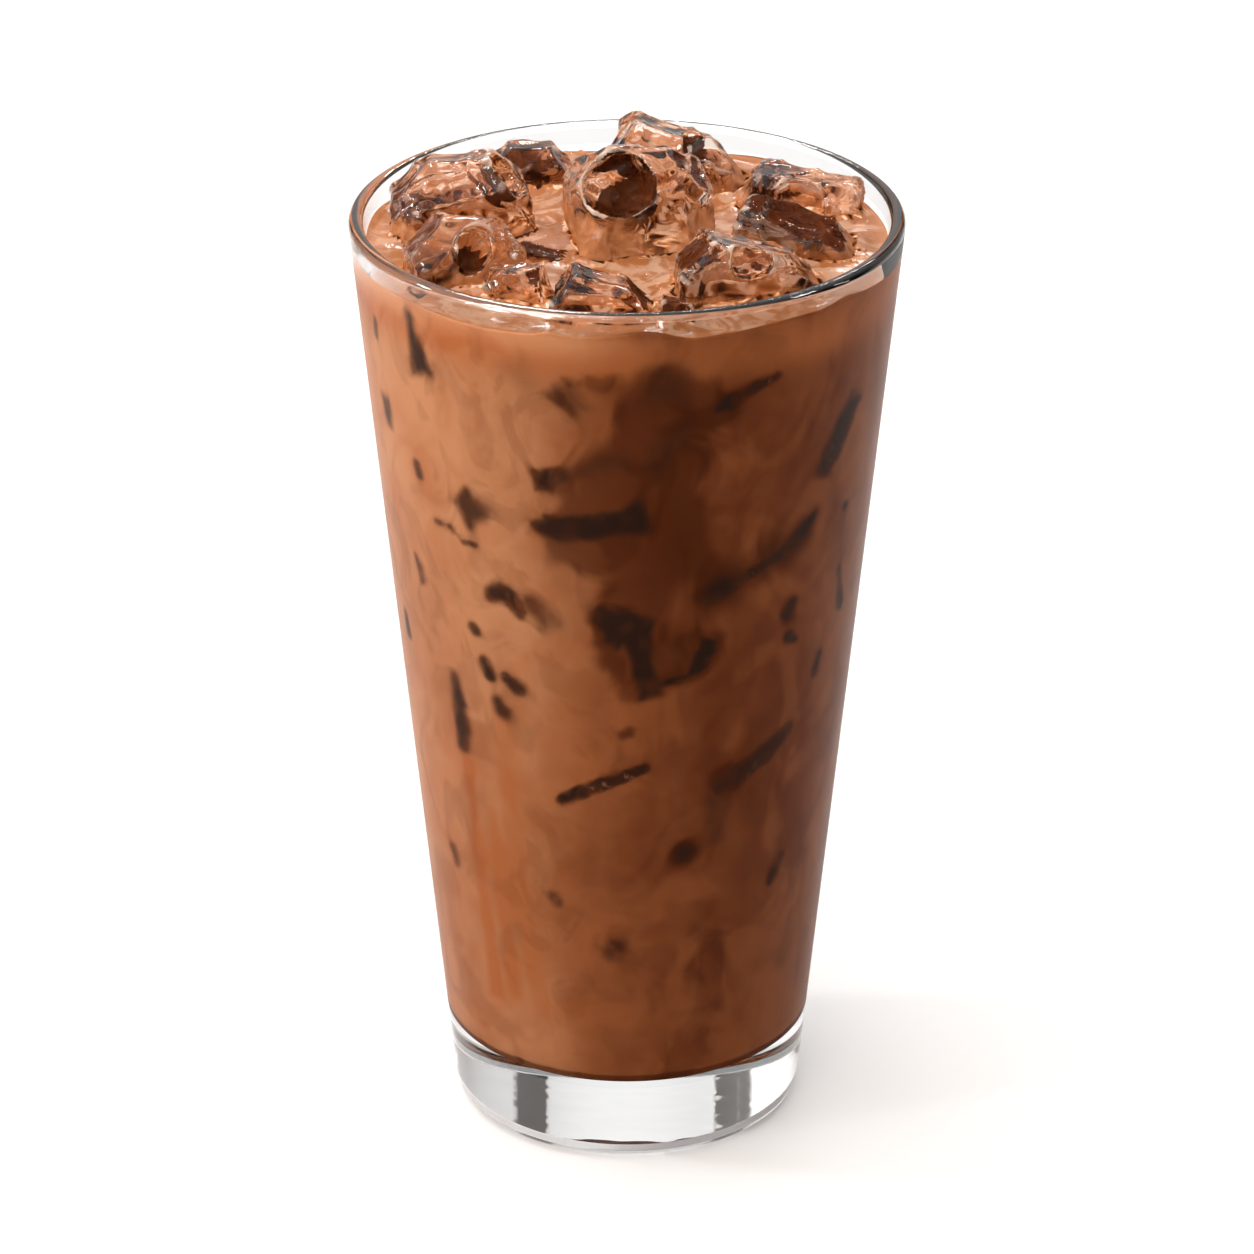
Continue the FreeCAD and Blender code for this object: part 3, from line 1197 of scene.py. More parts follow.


# Pieces of sunk ice, painted near-black as shade
SUNK_ICE = (
    Lump(((-52.5, 151.0, 0.7), (-52.0, 147.0, 0.9), (-50.3, 142.8, 1.8)), 0.95, 1.1, 0.5),
    Lump(((-68.0, 146.0, 0.6), (-68.8, 143.6, 0.6)), 0.6),
    Lump(((-67.8, 132.0, 1.3), (-67.4, 128.4, 1.0)), 0.75, 1.2),
    Lump(((-24.0, 147.0, 2.0), (-22.0, 144.8, 1.2)), 0.28, 2.2),
    Lump(((-13.6, 143.4, 2.0), (-11.2, 141.4, 1.3)), 0.6, 2.0),
    Lump(((-55.8, 123.8, 0.8), (-55.3, 122.6, 0.7)), 0.8),
    Lump(((-40.4, 121.0, 1.6), (-37.8, 119.0, 2.2)), 0.8, 1.3),
    Lump(((-50.6, 115.4, 0.25), (-45.6, 115.4, 0.45), (-41.8, 113.6, 0.6), (-38.2, 113.6, 0.5)), 0.7, 0.5),
    Lump(((-19.6, 128.0, 1.5), (-16.4, 128.4, 1.9), (-14.4, 128.8, 1.2)), 1.0, 0.8, 1.0),
    Lump(((-14.4, 128.8, 0.8), (-8.0, 130.8, 0.9), (-1.6, 132.4, 1.6)), 0.42, 1.6, 0.6),
    Lump(((-20.6, 119.6, 0.8), (-16.6, 119.4, 2.2), (-9.0, 120.4, 2.2), (-1.0, 121.4, 2.0), (2.6, 122.3, 3.0)),
         1.0, 0.9, 0.0),
    Lump(((-61.6, 106.6, 0.4), (-60.4, 104.6, 1.0), (-59.2, 102.6, 0.7)), 0.85, 0.8),
    Lump(((-34.4, 105.4, 0.9), (-32.0, 106.2, 1.3), (-29.6, 105.8, 1.2), (-27.2, 103.4, 0.7)), 0.95, 0.7, 0.6),
    Lump(((-23.8, 105.4, 0.8), (-20.8, 103.6, 0.9), (-19.0, 102.0, 1.4)), 0.5, 1.6),
    Lump(((-41.2, 98.2, 0.8), (-40.6, 97.6, 0.7)), 0.85, 0.7),
    Lump(((-73.4, 92.6, 0.5), (-72.4, 89.4, 0.7)), 0.8, 0.8),
    Lump(((-6.4, 104.4, 1.8), (-1.6, 102.6, 3.6), (2.4, 102.0, 2.6), (3.4, 96.4, 1.6), (5.8, 90.4, 1.8)),
         1.0, 0.8, 0.0),
    Lump(((6.0, 91.0, 0.5), (10.4, 92.2, 0.55), (14.8, 92.8, 0.7), (18.4, 94.6, 1.4), (20.4, 98.6, 1.7)),
         1.0, 0.6, 0.0),
    Lump(((7.0, 145.6, 2.4), (10.4, 145.2, 2.6)), 0.55, 3.2, 0.0),
    Lump(((19.8, 140.3, 0.9), (22.4, 141.2, 1.4), (24.4, 142.0, 0.9)), 1.0, 0.6, 0.0),
    Lump(((24.4, 142.0, 0.7), (29.0, 143.4, 0.9), (34.0, 144.4, 0.7)), 0.75, 0.6, 1.0),
    Lump(((13.0, 139.0, 0.7), (9.0, 135.0, 1.2), (6.2, 131.4, 1.4)), 0.55, 1.8, 0.0),
    Lump(((60.0, 134.4, 1.6), (57.0, 131.4, 2.2), (53.6, 127.6, 2.2), (50.8, 124.4, 1.4)), 0.9, 0.9, 0.2),
    Lump(((48.6, 116.6, 0.8), (46.2, 115.0, 1.6), (42.6, 113.0, 1.2)), 0.95, 0.7),
    Lump(((42.6, 113.0, 0.7), (36.4, 111.2, 1.3), (31.0, 110.2, 0.8), (27.4, 109.4, 0.9)), 0.85, 0.9),
    Lump(((27.0, 109.2, 1.4), (22.0, 107.6, 2.0), (19.2, 106.6, 1.5)), 0.95, 1.2, 0.0),
    Lump(((62.6, 103.6, 0.4), (64.0, 100.0, 0.6), (65.6, 96.8, 1.1)), 0.8, 0.8),
    Lump(((44.6, 102.2, 0.8), (43.0, 100.0, 1.1)), 0.85, 0.8),
    Lump(((44.2, 95.6, 1.0), (46.0, 95.0, 0.5)), 0.85, 0.6),
    Lump(((57.4, 89.6, 0.7), (56.2, 86.8, 0.9)), 0.9, 0.7),
    Lump(((61.9, 115.3, 0.5),), 0.7, 0.5),
    Lump(((-38.6, 92.4, 0.8), (-37.0, 90.2, 1.0)), 1.0, 0.6),
    Lump(((-32.0, 90.4, 0.6), (-28.6, 89.0, 0.9)), 0.85, 0.8),
    Lump(((-34.9, 85.4, 0.9), (-33.7, 84.0, 1.2)), 0.85, 1.1),
    Lump(((-49.6, 87.0, 0.5), (-48.6, 82.6, 1.0), (-48.8, 78.0, 1.1), (-49.6, 74.6, 0.6)), 0.95, 0.9),
    Lump(((0.3, 82.8, 0.6),), 0.9, 0.7),
    Lump(((-17.8, 69.6, 0.8), (-12.0, 71.4, 1.1)), 1.0, 0.5, 0.0),
    Lump(((-12.0, 71.4, 1.0), (-4.0, 73.8, 1.2), (4.6, 76.4, 0.8)), 0.85, 0.5, 1.0),
    Lump(((46.4, 78.0, 1.2), (40.0, 75.4, 1.7), (33.0, 73.0, 1.6), (25.6, 71.4, 1.5)), 0.8, 0.8, 0.5),
    Lump(((25.6, 71.4, 1.5), (25.8, 66.0, 1.5), (25.6, 61.4, 0.8)), 0.45, 1.4, 0.0),
    Lump(((15.9, 59.4, 1.4),), 1.0, 1.5, 0.0),
    Lump(((50.0, 53.4, 0.3), (47.2, 51.0, 1.1), (46.0, 49.4, 0.6)), 0.9, 0.7),
    Lump(((-59.8, 52.6, 0.5), (-58.6, 50.2, 0.7)), 0.7, 1.0),
    Lump(((-22.0, 50.8, 0.7), (-20.4, 49.6, 0.8)), 0.65, 1.2),
    Lump(((-4.8, 41.0, 0.9), (-3.0, 41.8, 0.9)), 0.65, 1.6),
    # The side that faces away
    Lump(((150.0, 128.0, 1.2), (158.0, 130.0, 2.0), (164.0, 131.0, 1.4)), 0.95, 1.0),
    Lump(((-160.0, 112.0, 2.0), (-154.0, 108.0, 2.6), (-152.0, 101.0, 1.2)), 1.0, 1.0, 0.2),
    Lump(((120.0, 96.0, 1.0), (128.0, 99.0, 1.6)), 0.85, 0.9),
    Lump(((-120.0, 138.0, 1.4), (-112.0, 139.0, 1.0)), 0.8, 1.1),
    Lump(((175.0, 84.0, 1.4), (-176.0, 80.0, 1.0)), 0.9, 0.9),
    Lump(((140.0, 62.0, 0.9), (146.0, 66.0, 1.5)), 0.8, 1.0),
    Lump(((-135.0, 72.0, 1.2), (-131.0, 66.0, 0.8)), 0.85, 0.9),
    Lump(((100.0, 122.0, 1.0), (104.0, 116.0, 1.6), (103.0, 110.0, 0.8)), 0.9, 1.0),
    Lump(((-98.0, 108.0, 1.3), (-90.0, 110.0, 0.9)), 0.8, 0.9),
    Lump(((-168.0, 46.0, 1.2),), 0.7, 1.4),
    Lump(((88.0, 74.0, 0.9), (92.0, 70.0, 1.3)), 0.85, 0.9),
    Lump(((-90.0, 60.0, 0.8), (-93.0, 55.0, 1.2)), 0.75, 1.0),
)

# How milky the drink is round the glass: (degrees from the front, tone). Partly painted light: paler on the lit left
# side, darker at the front right.
TONES = ((-180.0, 0.52), (-110.0, 0.66), (-75.0, 0.78), (-45.0, 0.74), (-25.0, 0.68), (-12.0, 0.50), (0.0, 0.33),
         (12.0, 0.21), (28.0, 0.20), (45.0, 0.22), (75.0, 0.40), (120.0, 0.40), (180.0, 0.52))

# Painted shade: zones where the drink is painted darker, most of them at the front middle round the sunk ice
PAINTED_SHADE_ZONES = (
    Lump(((-6.0, 128.0, 5.0), (4.0, 124.0, 8.0), (9.0, 133.0, 5.0), (13.0, 140.0, 3.0)), 0.75, 7.0),
    Lump(((-12.0, 118.0, 3.0), (2.0, 116.0, 7.0), (12.0, 117.0, 5.0)), 0.70, 6.0),
    Lump(((0.0, 104.0, 5.0), (6.0, 96.0, 5.0), (16.0, 98.0, 3.0)), 0.62, 6.0),
    Lump(((8.0, 146.0, 7.0), (0.0, 143.0, 5.0)), 0.45, 6.0),
    Lump(((24.0, 108.0, 5.0), (34.0, 112.0, 4.0), (46.0, 116.0, 2.0)), 0.35, 5.0),
    Lump(((26.0, 72.0, 3.0), (25.0, 62.0, 2.0)), 0.30, 4.0),
    Lump(((25.0, 44.0, 3.0), (20.0, 22.0, 4.0)), 0.35, 6.0),
    Lump(((150.0, 120.0, 6.0), (162.0, 110.0, 5.0)), 0.6, 7.0),
    Lump(((-150.0, 104.0, 6.0), (-156.0, 92.0, 4.0)), 0.5, 6.0),
)

# Runs of thinner coffee down the wall
WARM_RUNS = (
    Lump(((-47.7, 72.0, 0.9), (-47.4, 58.0, 1.3), (-46.4, 44.0, 1.3), (-45.4, 28.0, 1.6)), 1.0, 0.8),
    Lump(((-33.0, 84.0, 1.4), (-34.0, 70.0, 1.6), (-33.0, 52.0, 1.9), (-29.0, 36.0, 1.7), (-27.0, 26.0, 1.6)),
         0.5, 1.1),
    Lump(((-40.0, 64.0, 0.9), (-39.0, 46.0, 1.6), (-38.0, 30.0, 1.2)), 0.7, 0.9),
    Lump(((-56.0, 130.0, 2.0), (-54.0, 118.0, 3.0)), 0.4, 3.0),
    Lump(((130.0, 70.0, 1.4), (131.0, 44.0, 2.2)), 0.5, 1.6),
    Lump(((-140.0, 60.0, 1.2), (-139.0, 30.0, 1.8)), 0.5, 1.5),
)


@dataclass
class Drink:
    """Milky coffee that fills the tumbler and is cut round the ice."""

    tumbler: Tumbler
    level_mm: float = 152.8
    bite_mm: float = 0.12
    ice_bite_mm: float = 0.15
    pocket_mm: float = 2.4
    squeeze: float = 0.14
    side_step_mm: float = 1.0
    top_step_mm: float = 0.75
    top_zone_mm: float = 2.5
    bed_zone_mm: float = 8.0
    touch_share: float = 1.4
    around: int = 320

    def wall(self, z: np.ndarray | float) -> np.ndarray | float:
        """The drink's radius in mm at height z in mm, just into the wall."""
        return self.tumbler.inner(z) + self.bite_mm

    def build(self, finish: MilkyCoffee, ice: Sequence[bpy.types.Object]) -> bpy.types.Object:
        """Makes the drink.

        Args:
            finish: its coffee.
            ice: the cubes that it is cut round.

        Returns:
            The piece.
        """
        tree = joined_tree(ice)
        points, faces = self._grid(tree)
        materials = [finish.material(contact) for contact in BODY_CONTACTS]
        piece = add_piece("milky_coffee", points, faces, materials)
        self._cut(piece, ice)
        self._dress(piece.data, tree)
        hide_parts("coffee")
        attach(piece, "root")
        return piece

    def contact_rise(self, turn: np.ndarray) -> np.ndarray:
        """Height in mm over the level of the line where the drink meets the wall, round the glass.

        Args:
            turn: angles from the front, in radians.

        Returns:
            The height at each angle.
        """
        rise = 0.75 + 0.30 * np.sin(3 * turn + 0.6) + 0.22 * np.sin(7 * turn + 2.1) + 0.14 * np.sin(13 * turn)
        for angle, height, width in ((-16.0, 0.7, 2.6), (3.5, 0.9, 8.0), (13.0, -0.6, 5.0), (52.0, 0.8, 5.0)):
            away = (np.degrees(turn) - angle + 180.0) % 360.0 - 180.0
            rise += height * np.exp(-(away / width) ** 2)
        return rise

    def _grid(self, tree: BVHTree) -> tuple[np.ndarray, list[tuple[int, ...]]]:
        """Rings of points over the bottom, up the side and in over the top.

        Args:
            tree: search tree over the cubes.

        Returns:
            Vertices in metres, and faces.
        """
        turn = np.linspace(-math.pi, math.pi, self.around, endpoint=False)
        base = self.tumbler.base_mm - self.bite_mm
        corner = rounded([(0.0, base, 0.0), (float(self.wall(base)), base, self.tumbler.floor_round_mm),
                          (float(self.wall(40.0)), 40.0, 0.0)], 10)
        floor = [(r, base) for r in np.arange(1.5, corner[1][0] - 0.5, 1.5)]
        side = [(self.wall(z), z) for z in np.arange(corner[-2][1] + 1.0, self.level_mm, self.side_step_mm)]
        rings = []
        rise = self.contact_rise(turn)
        for r, z in floor + corner[1:-1] + side:
            lift = rise * max(0.0, 1.0 - (self.level_mm - z) / 8.0) ** 2
            height = z + lift
            radius = r + (self.wall(height) - self.wall(z))
            rings.append(self._ring(turn, radius, height))
        rings += self._top_rings(turn, rise, tree)
        around = self.around
        points = np.vstack(rings + [[(0.0, 0.0, base)], [(0.0, 0.0, self.level_mm)]]) * MM
        faces = ring_faces(len(rings), around)
        last = (len(rings) - 1) * around
        for i in range(around):
            k = (i + 1) % around
            faces.append((len(points) - 2, k, i))
            faces.append((len(points) - 1, last + i, last + k))
        return points, faces

    @staticmethod
    def _ring(turn: np.ndarray, radius: np.ndarray | float, height: np.ndarray | float) -> np.ndarray:
        """Points of one ring in mm."""
        return np.column_stack((radius * np.sin(turn), -radius * np.cos(turn), height + 0.0 * turn))

    def _top_rings(self, turn: np.ndarray, rise: np.ndarray, tree: BVHTree) -> list[np.ndarray]:
        """Rings of the top surface, which climbs at the wall and at the ice and is rippled between.

        Args:
            turn: angles of the points in each ring, in radians.
            rise: height of the line at the wall over the level at each angle, in mm.
            tree: search tree over the cubes.

        Returns:
            The rings in mm, from the wall inwards.
        """
        wall = float(self.wall(self.level_mm))
        away = np.concatenate(([0.0, 0.12, 0.3, 0.55, 0.9, 1.4], np.arange(2.0, wall - 0.8, self.top_step_mm)))
        slow, fine = Field(5, 7.0), Field(6, 2.4)
        rings = []
        for d in away:
            edge = rise * math.exp(-d / 0.8)
            ring = self._ring(turn, self.wall(self.level_mm + edge) - d, self.level_mm + edge)
            calm = 1.0 - math.exp(-d / 3.0)
            ring[:, 2] += calm * (slow.at(ring * MM) * 0.38 + fine.at(ring * MM) * 0.10)
            if d > 0.5:
                near = np.array([tree.find_nearest(Vector(p * MM))[3] for p in ring]) / MM
                film = 0.5 + 1.1 * smoothstep(slow.at(ring * MM * 0.6), -0.1, 0.7)
                ring[:, 2] += film * np.exp(-near / 1.2)
            rings.append(ring)
        return rings

    def _cut(self, piece: bpy.types.Object, ice: Sequence[bpy.types.Object]) -> None:
        """Cuts the drink round each cube, leaving it reaching just into the ice.

        Args:
            piece: the drink.
            ice: the cubes.
        """
        tools = []
        for cube in ice:
            mesh = cube.data.copy()
            points = points_of(mesh) - normals_of(mesh) * self.ice_bite_mm * MM
            bed = (self.level_mm - self.pocket_mm) * MM
            points[:, 2] = np.where(points[:, 2] < bed, bed - (bed - points[:, 2]) * self.squeeze, points[:, 2])
            move_points(mesh, points)
            tool = bpy.data.objects.new("tool", mesh)
            bpy.context.scene.collection.objects.link(tool)
            tools.append(tool)
            cut = piece.modifiers.new("cut", "BOOLEAN")
            cut.operation, cut.solver, cut.object = "DIFFERENCE", "MANIFOLD", tool
        apply_modifiers(piece)
        for tool in tools:
            mesh = tool.data
            bpy.data.objects.remove(tool)
            bpy.data.meshes.remove(mesh)

    def _dress(self, mesh: bpy.types.Mesh, tree: BVHTree) -> None:
        """Gives each face its material and each vertex its tone.

        Args:
            mesh: the drink's mesh.
            tree: search tree over the cubes.
        """
        points = points_of(mesh)
        for name, values in wall_spreads(points, self.tumbler).items():
            write_spread(mesh, name, values)
        radius = np.hypot(points[:, 0], points[:, 1]) / MM
        height = points[:, 2] / MM
        gap = self.wall(height) - radius
        top = height > self.level_mm - self.top_zone_mm
        touch = self.ice_bite_mm * self.touch_share
        near = np.full(len(points), 9.0)
        for i in np.flatnonzero(top):
            near[i] = tree.find_nearest(Vector(points[i]))[3] / MM
        open_top = top & (near > touch) & (gap > 0.05)
        # The painted highlight of the meniscus, strongest at the wall
        write_spread(mesh, "edge", 0.9 * np.exp(-gap / 0.25) + 0.25 * np.exp(-near / 0.7))
        write_spread(mesh, "shore", 0.85 * np.exp(-np.maximum(gap, 0.0) / 3.5))
        bed = top & (near <= touch) | (gap > 1.0) & (height > self.level_mm - self.bed_zone_mm) & ~open_top
        flags = np.zeros(len(mesh.polygons), np.int32)
        for face in mesh.polygons:
            if all(open_top[v] for v in face.vertices):
                flags[face.index] = BODY_CONTACTS.index(Contact.AIR)
            elif any(bed[v] for v in face.vertices):
                flags[face.index] = BODY_CONTACTS.index(Contact.CUBE)
        mesh.polygons.foreach_set("material_index", flags)
        mesh.shade_smooth()


def joined_tree(pieces: Sequence[bpy.types.Object]) -> BVHTree:
    """Search tree over the faces of several pieces.

    Args:
        pieces: the pieces.

    Returns:
        The tree, in metres.
    """
    points: list[Vector] = []
    faces: list[list[int]] = []
    for piece in pieces:
        first = len(points)
        points += [v.co.copy() for v in piece.data.vertices]
        faces += [[first + v for v in face.vertices] for face in piece.data.polygons]
    return BVHTree.FromPolygons(points, faces)


def lump_distance(lump: Lump, angle: np.ndarray, height: np.ndarray, radius: np.ndarray) -> np.ndarray:
    """Distance in mm along the wall from points to a lump's outline, less than 0 inside.

    Args:
        lump: the lump.
        angle: degrees from the front.
        height: mm.
        radius: mm from the axis.

    Returns:
        The distances.
    """
    arc = np.pi / 180.0 * radius
    path = lump.path if len(lump.path) > 1 else lump.path * 2
    best = np.full(len(angle), 1e3)
    for (a0, z0, w0), (a1, z1, w1) in zip(path, path[1:]):
        dx = ((angle - a0 + 180.0) % 360.0 - 180.0) * arc
        dz = height - z0
        sx = ((a1 - a0 + 180.0) % 360.0 - 180.0) * arc
        sz = z1 - z0
        length = np.maximum(sx * sx + sz * sz, 1e-9)
        t = (dx * sx + dz * sz) / length
        within = np.clip(t, 0.0, 1.0)
        width = w0 + (w1 - w0) * within
        over = np.abs(t - within) * np.sqrt(length)
        across = np.abs(dx * sz - dz * sx) / np.sqrt(length)
        blunt = np.maximum(np.maximum(over - width * 0.5, across - width), np.hypot(over, across) - width * 1.12)
        blunt = np.where(width < 1.3, np.hypot(over, across) - width, blunt)
        best = np.minimum(best, np.where(length > 1e-6, blunt, np.hypot(dx, dz) - w0))
    return best


def wall_spreads(points: np.ndarray, tumbler: Tumbler) -> dict[str, np.ndarray]:
    """Attributes of the drink's colour at points on or behind the wall, with painted light and shade in tone and
    halo.

    Args:
        points: (n, 3) in metres.
        tumbler: the glass.

    Returns:
        tone, warm and halo values by name.
    """
    angle = np.degrees(np.arctan2(points[:, 0], -points[:, 1]))
    height = points[:, 2] / MM
    radius = tumbler.inner(height)
    wobble = Field(21, 6.0).at(points) * 0.9 + Field(22, 3.2).at(points) * 0.5
    halo = np.zeros(len(points))
    # Painted shade: the drink darkens round each piece of sunk ice and in the shade zones
    for lump in SUNK_ICE:
        away = lump_distance(lump, angle, height, radius) + wobble * 0.4
        halo = np.maximum(halo, 0.62 * lump.core * np.exp(-np.maximum(away, 0.0) / (1.6 * lump.soft_mm)))
    for lump in PAINTED_SHADE_ZONES:
        away = lump_distance(lump, angle, height, radius) + wobble * 2.0
        halo = 1.0 - (1.0 - halo) * (1.0 - lump.core * smoothstep(-away, -lump.soft_mm, lump.soft_mm * 0.5))
    warm = np.zeros(len(points))
    for lump in WARM_RUNS:
        away = lump_distance(lump, angle, height, radius) + wobble * 0.7
        warm = np.maximum(warm, lump.core * smoothstep(-away, -lump.soft_mm, lump.soft_mm))
    band = np.exp(-((height - 148.5) / 3.6) ** 2) * 0.75
    # Partly painted light: paler on the lit left, darker at the front right
    tone = np.interp(angle, *zip(*TONES))
    shore = np.exp(-((height - 151.5) / 3.4) ** 2)
    tone += shore * (0.34 - 0.22 * smoothstep(angle, -8.0, 12.0))
    halo *= 1.0 - 0.9 * shore
    # Painted shade: darkest at the very bottom of the drink, on the base
    halo = np.maximum(halo, 1.3 * smoothstep(-height, -16.8, -14.6))
    # Painted light: paler at the front left, in the upper half of the drink
    tone += 0.20 * np.exp(-((angle + 38.0) / 34.0) ** 2) * smoothstep(height, 75.0, 125.0)
    return {"tone": tone, "warm": np.maximum(warm, band), "halo": halo}


@dataclass
class SunkIce:
    """The ice that touches the wall from inside the drink, seen as dark shapes: clear ice painted near-black as
    shade.
    """

    tumbler: Tumbler
    drink: Drink
    cell_mm: float = 0.34
    proud_mm: float = 0.03
    thickness_mm: float = 1.0
    edge_thickness_mm: float = 0.35
    margin_mm: float = 1.2
    slimmer_mm: float = 0.28
    softer: float = 1.3

    def build(self, finish: MilkyCoffee) -> bpy.types.Object:
        """Makes every sunk piece as one mesh.

        Args:
            finish: the coffee it shows through.

        Returns:
            The piece.
        """
        points: list[np.ndarray] = []
        faces: list[tuple[int, ...]] = []
        cores: list[np.ndarray] = []
        glints: list[np.ndarray] = []
        count = 0
        for number, lump in enumerate(SUNK_ICE):
            spots, quads, core = self._plate(lump, number)
            points.append(spots)
            faces += [tuple(count + v for v in quad) for quad in quads]
            cores.append(core)
            glints.append(np.full(len(spots), lump.glint))
            count += len(spots)
        piece = add_piece("sunk_ice", np.vstack(points), faces, [finish.material(Contact.SUNK)])
        for name, values in wall_spreads(points_of(piece.data), self.tumbler).items():
            write_spread(piece.data, name, values)
        write_spread(piece.data, "core", np.concatenate(cores))
        write_spread(piece.data, "glint", np.concatenate(glints))
        piece.data.set_sharp_from_angle(angle=math.radians(40.0))
        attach(piece, "root")
        return piece

    def _plate(self, lump: Lump, number: int) -> tuple[np.ndarray, list[tuple[int, ...]], np.ndarray]:
        """One closed plate against the wall.

        Args:
            lump: its outline.
            number: which lump, for its own uneven edge.

        Returns:
            Its vertices in metres, its faces and how dark each vertex is.
        """
        path = np.array(lump.path)
        origin = path[0, 0]
        angles = (path[:, 0] - origin + 180.0) % 360.0 - 180.0
        middle = float(self.tumbler.inner(path[:, 1].mean()))
        arc = math.pi / 180.0 * middle
        reach = path[:, 2].max() + lump.soft_mm * self.softer + self.margin_mm
        wide = np.arange(angles.min() * arc - reach, angles.max() * arc + reach, self.cell_mm)
        tall = np.arange(path[:, 1].min() - reach, path[:, 1].max() + reach, self.cell_mm)
        s, z = (a.ravel() for a in np.meshgrid(wide, tall, indexing="ij"))
        angle = origin + s / arc
        flat = np.column_stack((s, z, np.full(len(s), 9.0 * number))) * MM
        wobble = Field(31, 2.6).at(flat) * 0.55 + Field(32, 1.1).at(flat) * 0.32
        away = lump_distance(lump, angle, z, np.full(len(z), middle)) + wobble + self.slimmer_mm
        away = away.reshape(len(wide), len(tall))
        inside = away < lump.soft_mm * self.softer
        cells = inside[:-1, :-1] & inside[1:, :-1] & inside[:-1, 1:] & inside[1:, 1:]
        return self._close(cells, angle, z, away.ravel(), lump)

    def _close(self, cells: np.ndarray, angle: np.ndarray, z: np.ndarray, away: np.ndarray,
               lump: Lump) -> tuple[np.ndarray, list[tuple[int, ...]], np.ndarray]:
        """Outer and inner skin of the kept cells, and the walls between them.

        Args:
            cells: which cells of the grid are kept.
            angle: degrees from the front of each grid point.
            z: height of each grid point in mm.
            away: distance of each grid point from the lump's outline in mm.
            lump: the lump.

        Returns:
            Vertices in metres, faces and how dark each vertex is.
        """
        rows, columns = cells.shape[0], cells.shape[1] + 1
        used: dict[int, int] = {}
        quads = []
        for i, j in zip(*np.nonzero(cells)):
            quad = [i * columns + j, (i + 1) * columns + j, (i + 1) * columns + j + 1, i * columns + j + 1]
            quads.append([used.setdefault(int(v), len(used)) for v in quad])
        keys = np.array(list(used))
        turn = np.radians(angle[keys])
        height = z[keys]
        outer = self.drink.wall(height) + self.proud_mm
        depth = self.edge_thickness_mm + self.thickness_mm * smoothstep(-away[keys], -lump.soft_mm * self.softer, 0.8)
        skins = []
        for radius in (outer, outer - depth):
            skins.append(np.column_stack((radius * np.sin(turn), -radius * np.cos(turn), height)) * MM)
        count = len(keys)
        faces = [tuple(q) for q in quads] + [tuple(count + v for v in reversed(q)) for q in quads]
        edges: dict[tuple[int, int], tuple[int, int]] = {}
        for quad in quads:
            for a, b in zip(quad, quad[1:] + quad[:1]):
                if edges.pop((b, a), None) is None:
                    edges[(a, b)] = (a, b)
        faces += [(b, a, count + a, count + b) for a, b in edges]
        core = lump.core * smoothstep(-away[keys], -lump.soft_mm * self.softer, lump.soft_mm * 0.7)
        return np.vstack(skins), faces, np.concatenate((core, core))


@dataclass
class Froth:
    """Small bubbles where the drink meets the ice and the wall."""

    drink: Drink
    count: int = 620
    radius_mm: tuple[float, float] = (0.14, 0.36)
    larger: float = 1.7
    larger_share: float = 0.12
    raised_share: float = 0.15
    rows: int = 6
    around: int = 10
    seed: int = 3

    def build(self, finish: Bubble, coffee: bpy.types.Object, ice: Sequence[bpy.types.Object]) -> bpy.types.Object:
        """Makes every bubble as one mesh.

        Args:
            finish: their skin.
            coffee: the drink they float on.
            ice: the cubes that they gather at.

        Returns:
            The piece.
        """
        rng = np.random.default_rng(self.seed)
        tree = joined_tree(ice)
        mesh = coffee.data
        spots = []
        for face in mesh.polygons:
            if face.material_index == BODY_CONTACTS.index(Contact.AIR):
                near = tree.find_nearest(face.center)[3] / MM
                gap = float(self.drink.wall(self.drink.level_mm)) - math.hypot(face.center.x, face.center.y) / MM
                weight = face.area * (0.04 + math.exp(-near / 1.0) + 0.5 * math.exp(-gap / 0.8))
                spots.append((weight, face.center.copy()))
        weights = np.array([s[0] for s in spots])
        chosen = rng.choice(len(spots), self.count, p=weights / weights.sum())
        shape = bubble_points(self.rows, self.around)
        quads = ring_faces(self.rows + 1, self.around)
        points, faces = [], []
        for number, index in enumerate(chosen):
            radius = rng.uniform(*self.radius_mm) * (self.larger if rng.random() < self.larger_share else 1.0)
            centre = np.array(spots[index][1]) + (0.0, 0.0, radius * MM * self.raised_share)
            points.append(centre + shape * radius * MM)
            faces += [tuple(number * len(shape) + v for v in quad) for quad in quads]
        piece = add_piece("froth", np.vstack(points), faces, [finish.material()])
        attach(piece, "root")
        return piece


def bubble_points(rows: int, around: int) -> np.ndarray:
    """Points of a unit ball in rings, nearly closed at its poles.

    Args:
        rows: bands of faces from pole to pole.
        around: points in each ring.

    Returns:
        (n, 3) points, ring by ring.
    """
    rings = []
    for row in range(rows + 1):
        tilt = math.pi * (row + 0.02 * (row == 0) - 0.02 * (row == rows)) / rows
        turn = np.linspace(0.0, 2 * math.pi, around, endpoint=False)
        rings.append(np.column_stack((math.sin(tilt) * np.sin(turn), -math.sin(tilt) * np.cos(turn),
                                      np.full(around, -math.cos(tilt)))))
    return np.vstack(rings)


# The studio


# The point that every lamp faces
LAMP_AIM = Vector((0.0, 0.0, 0.09))


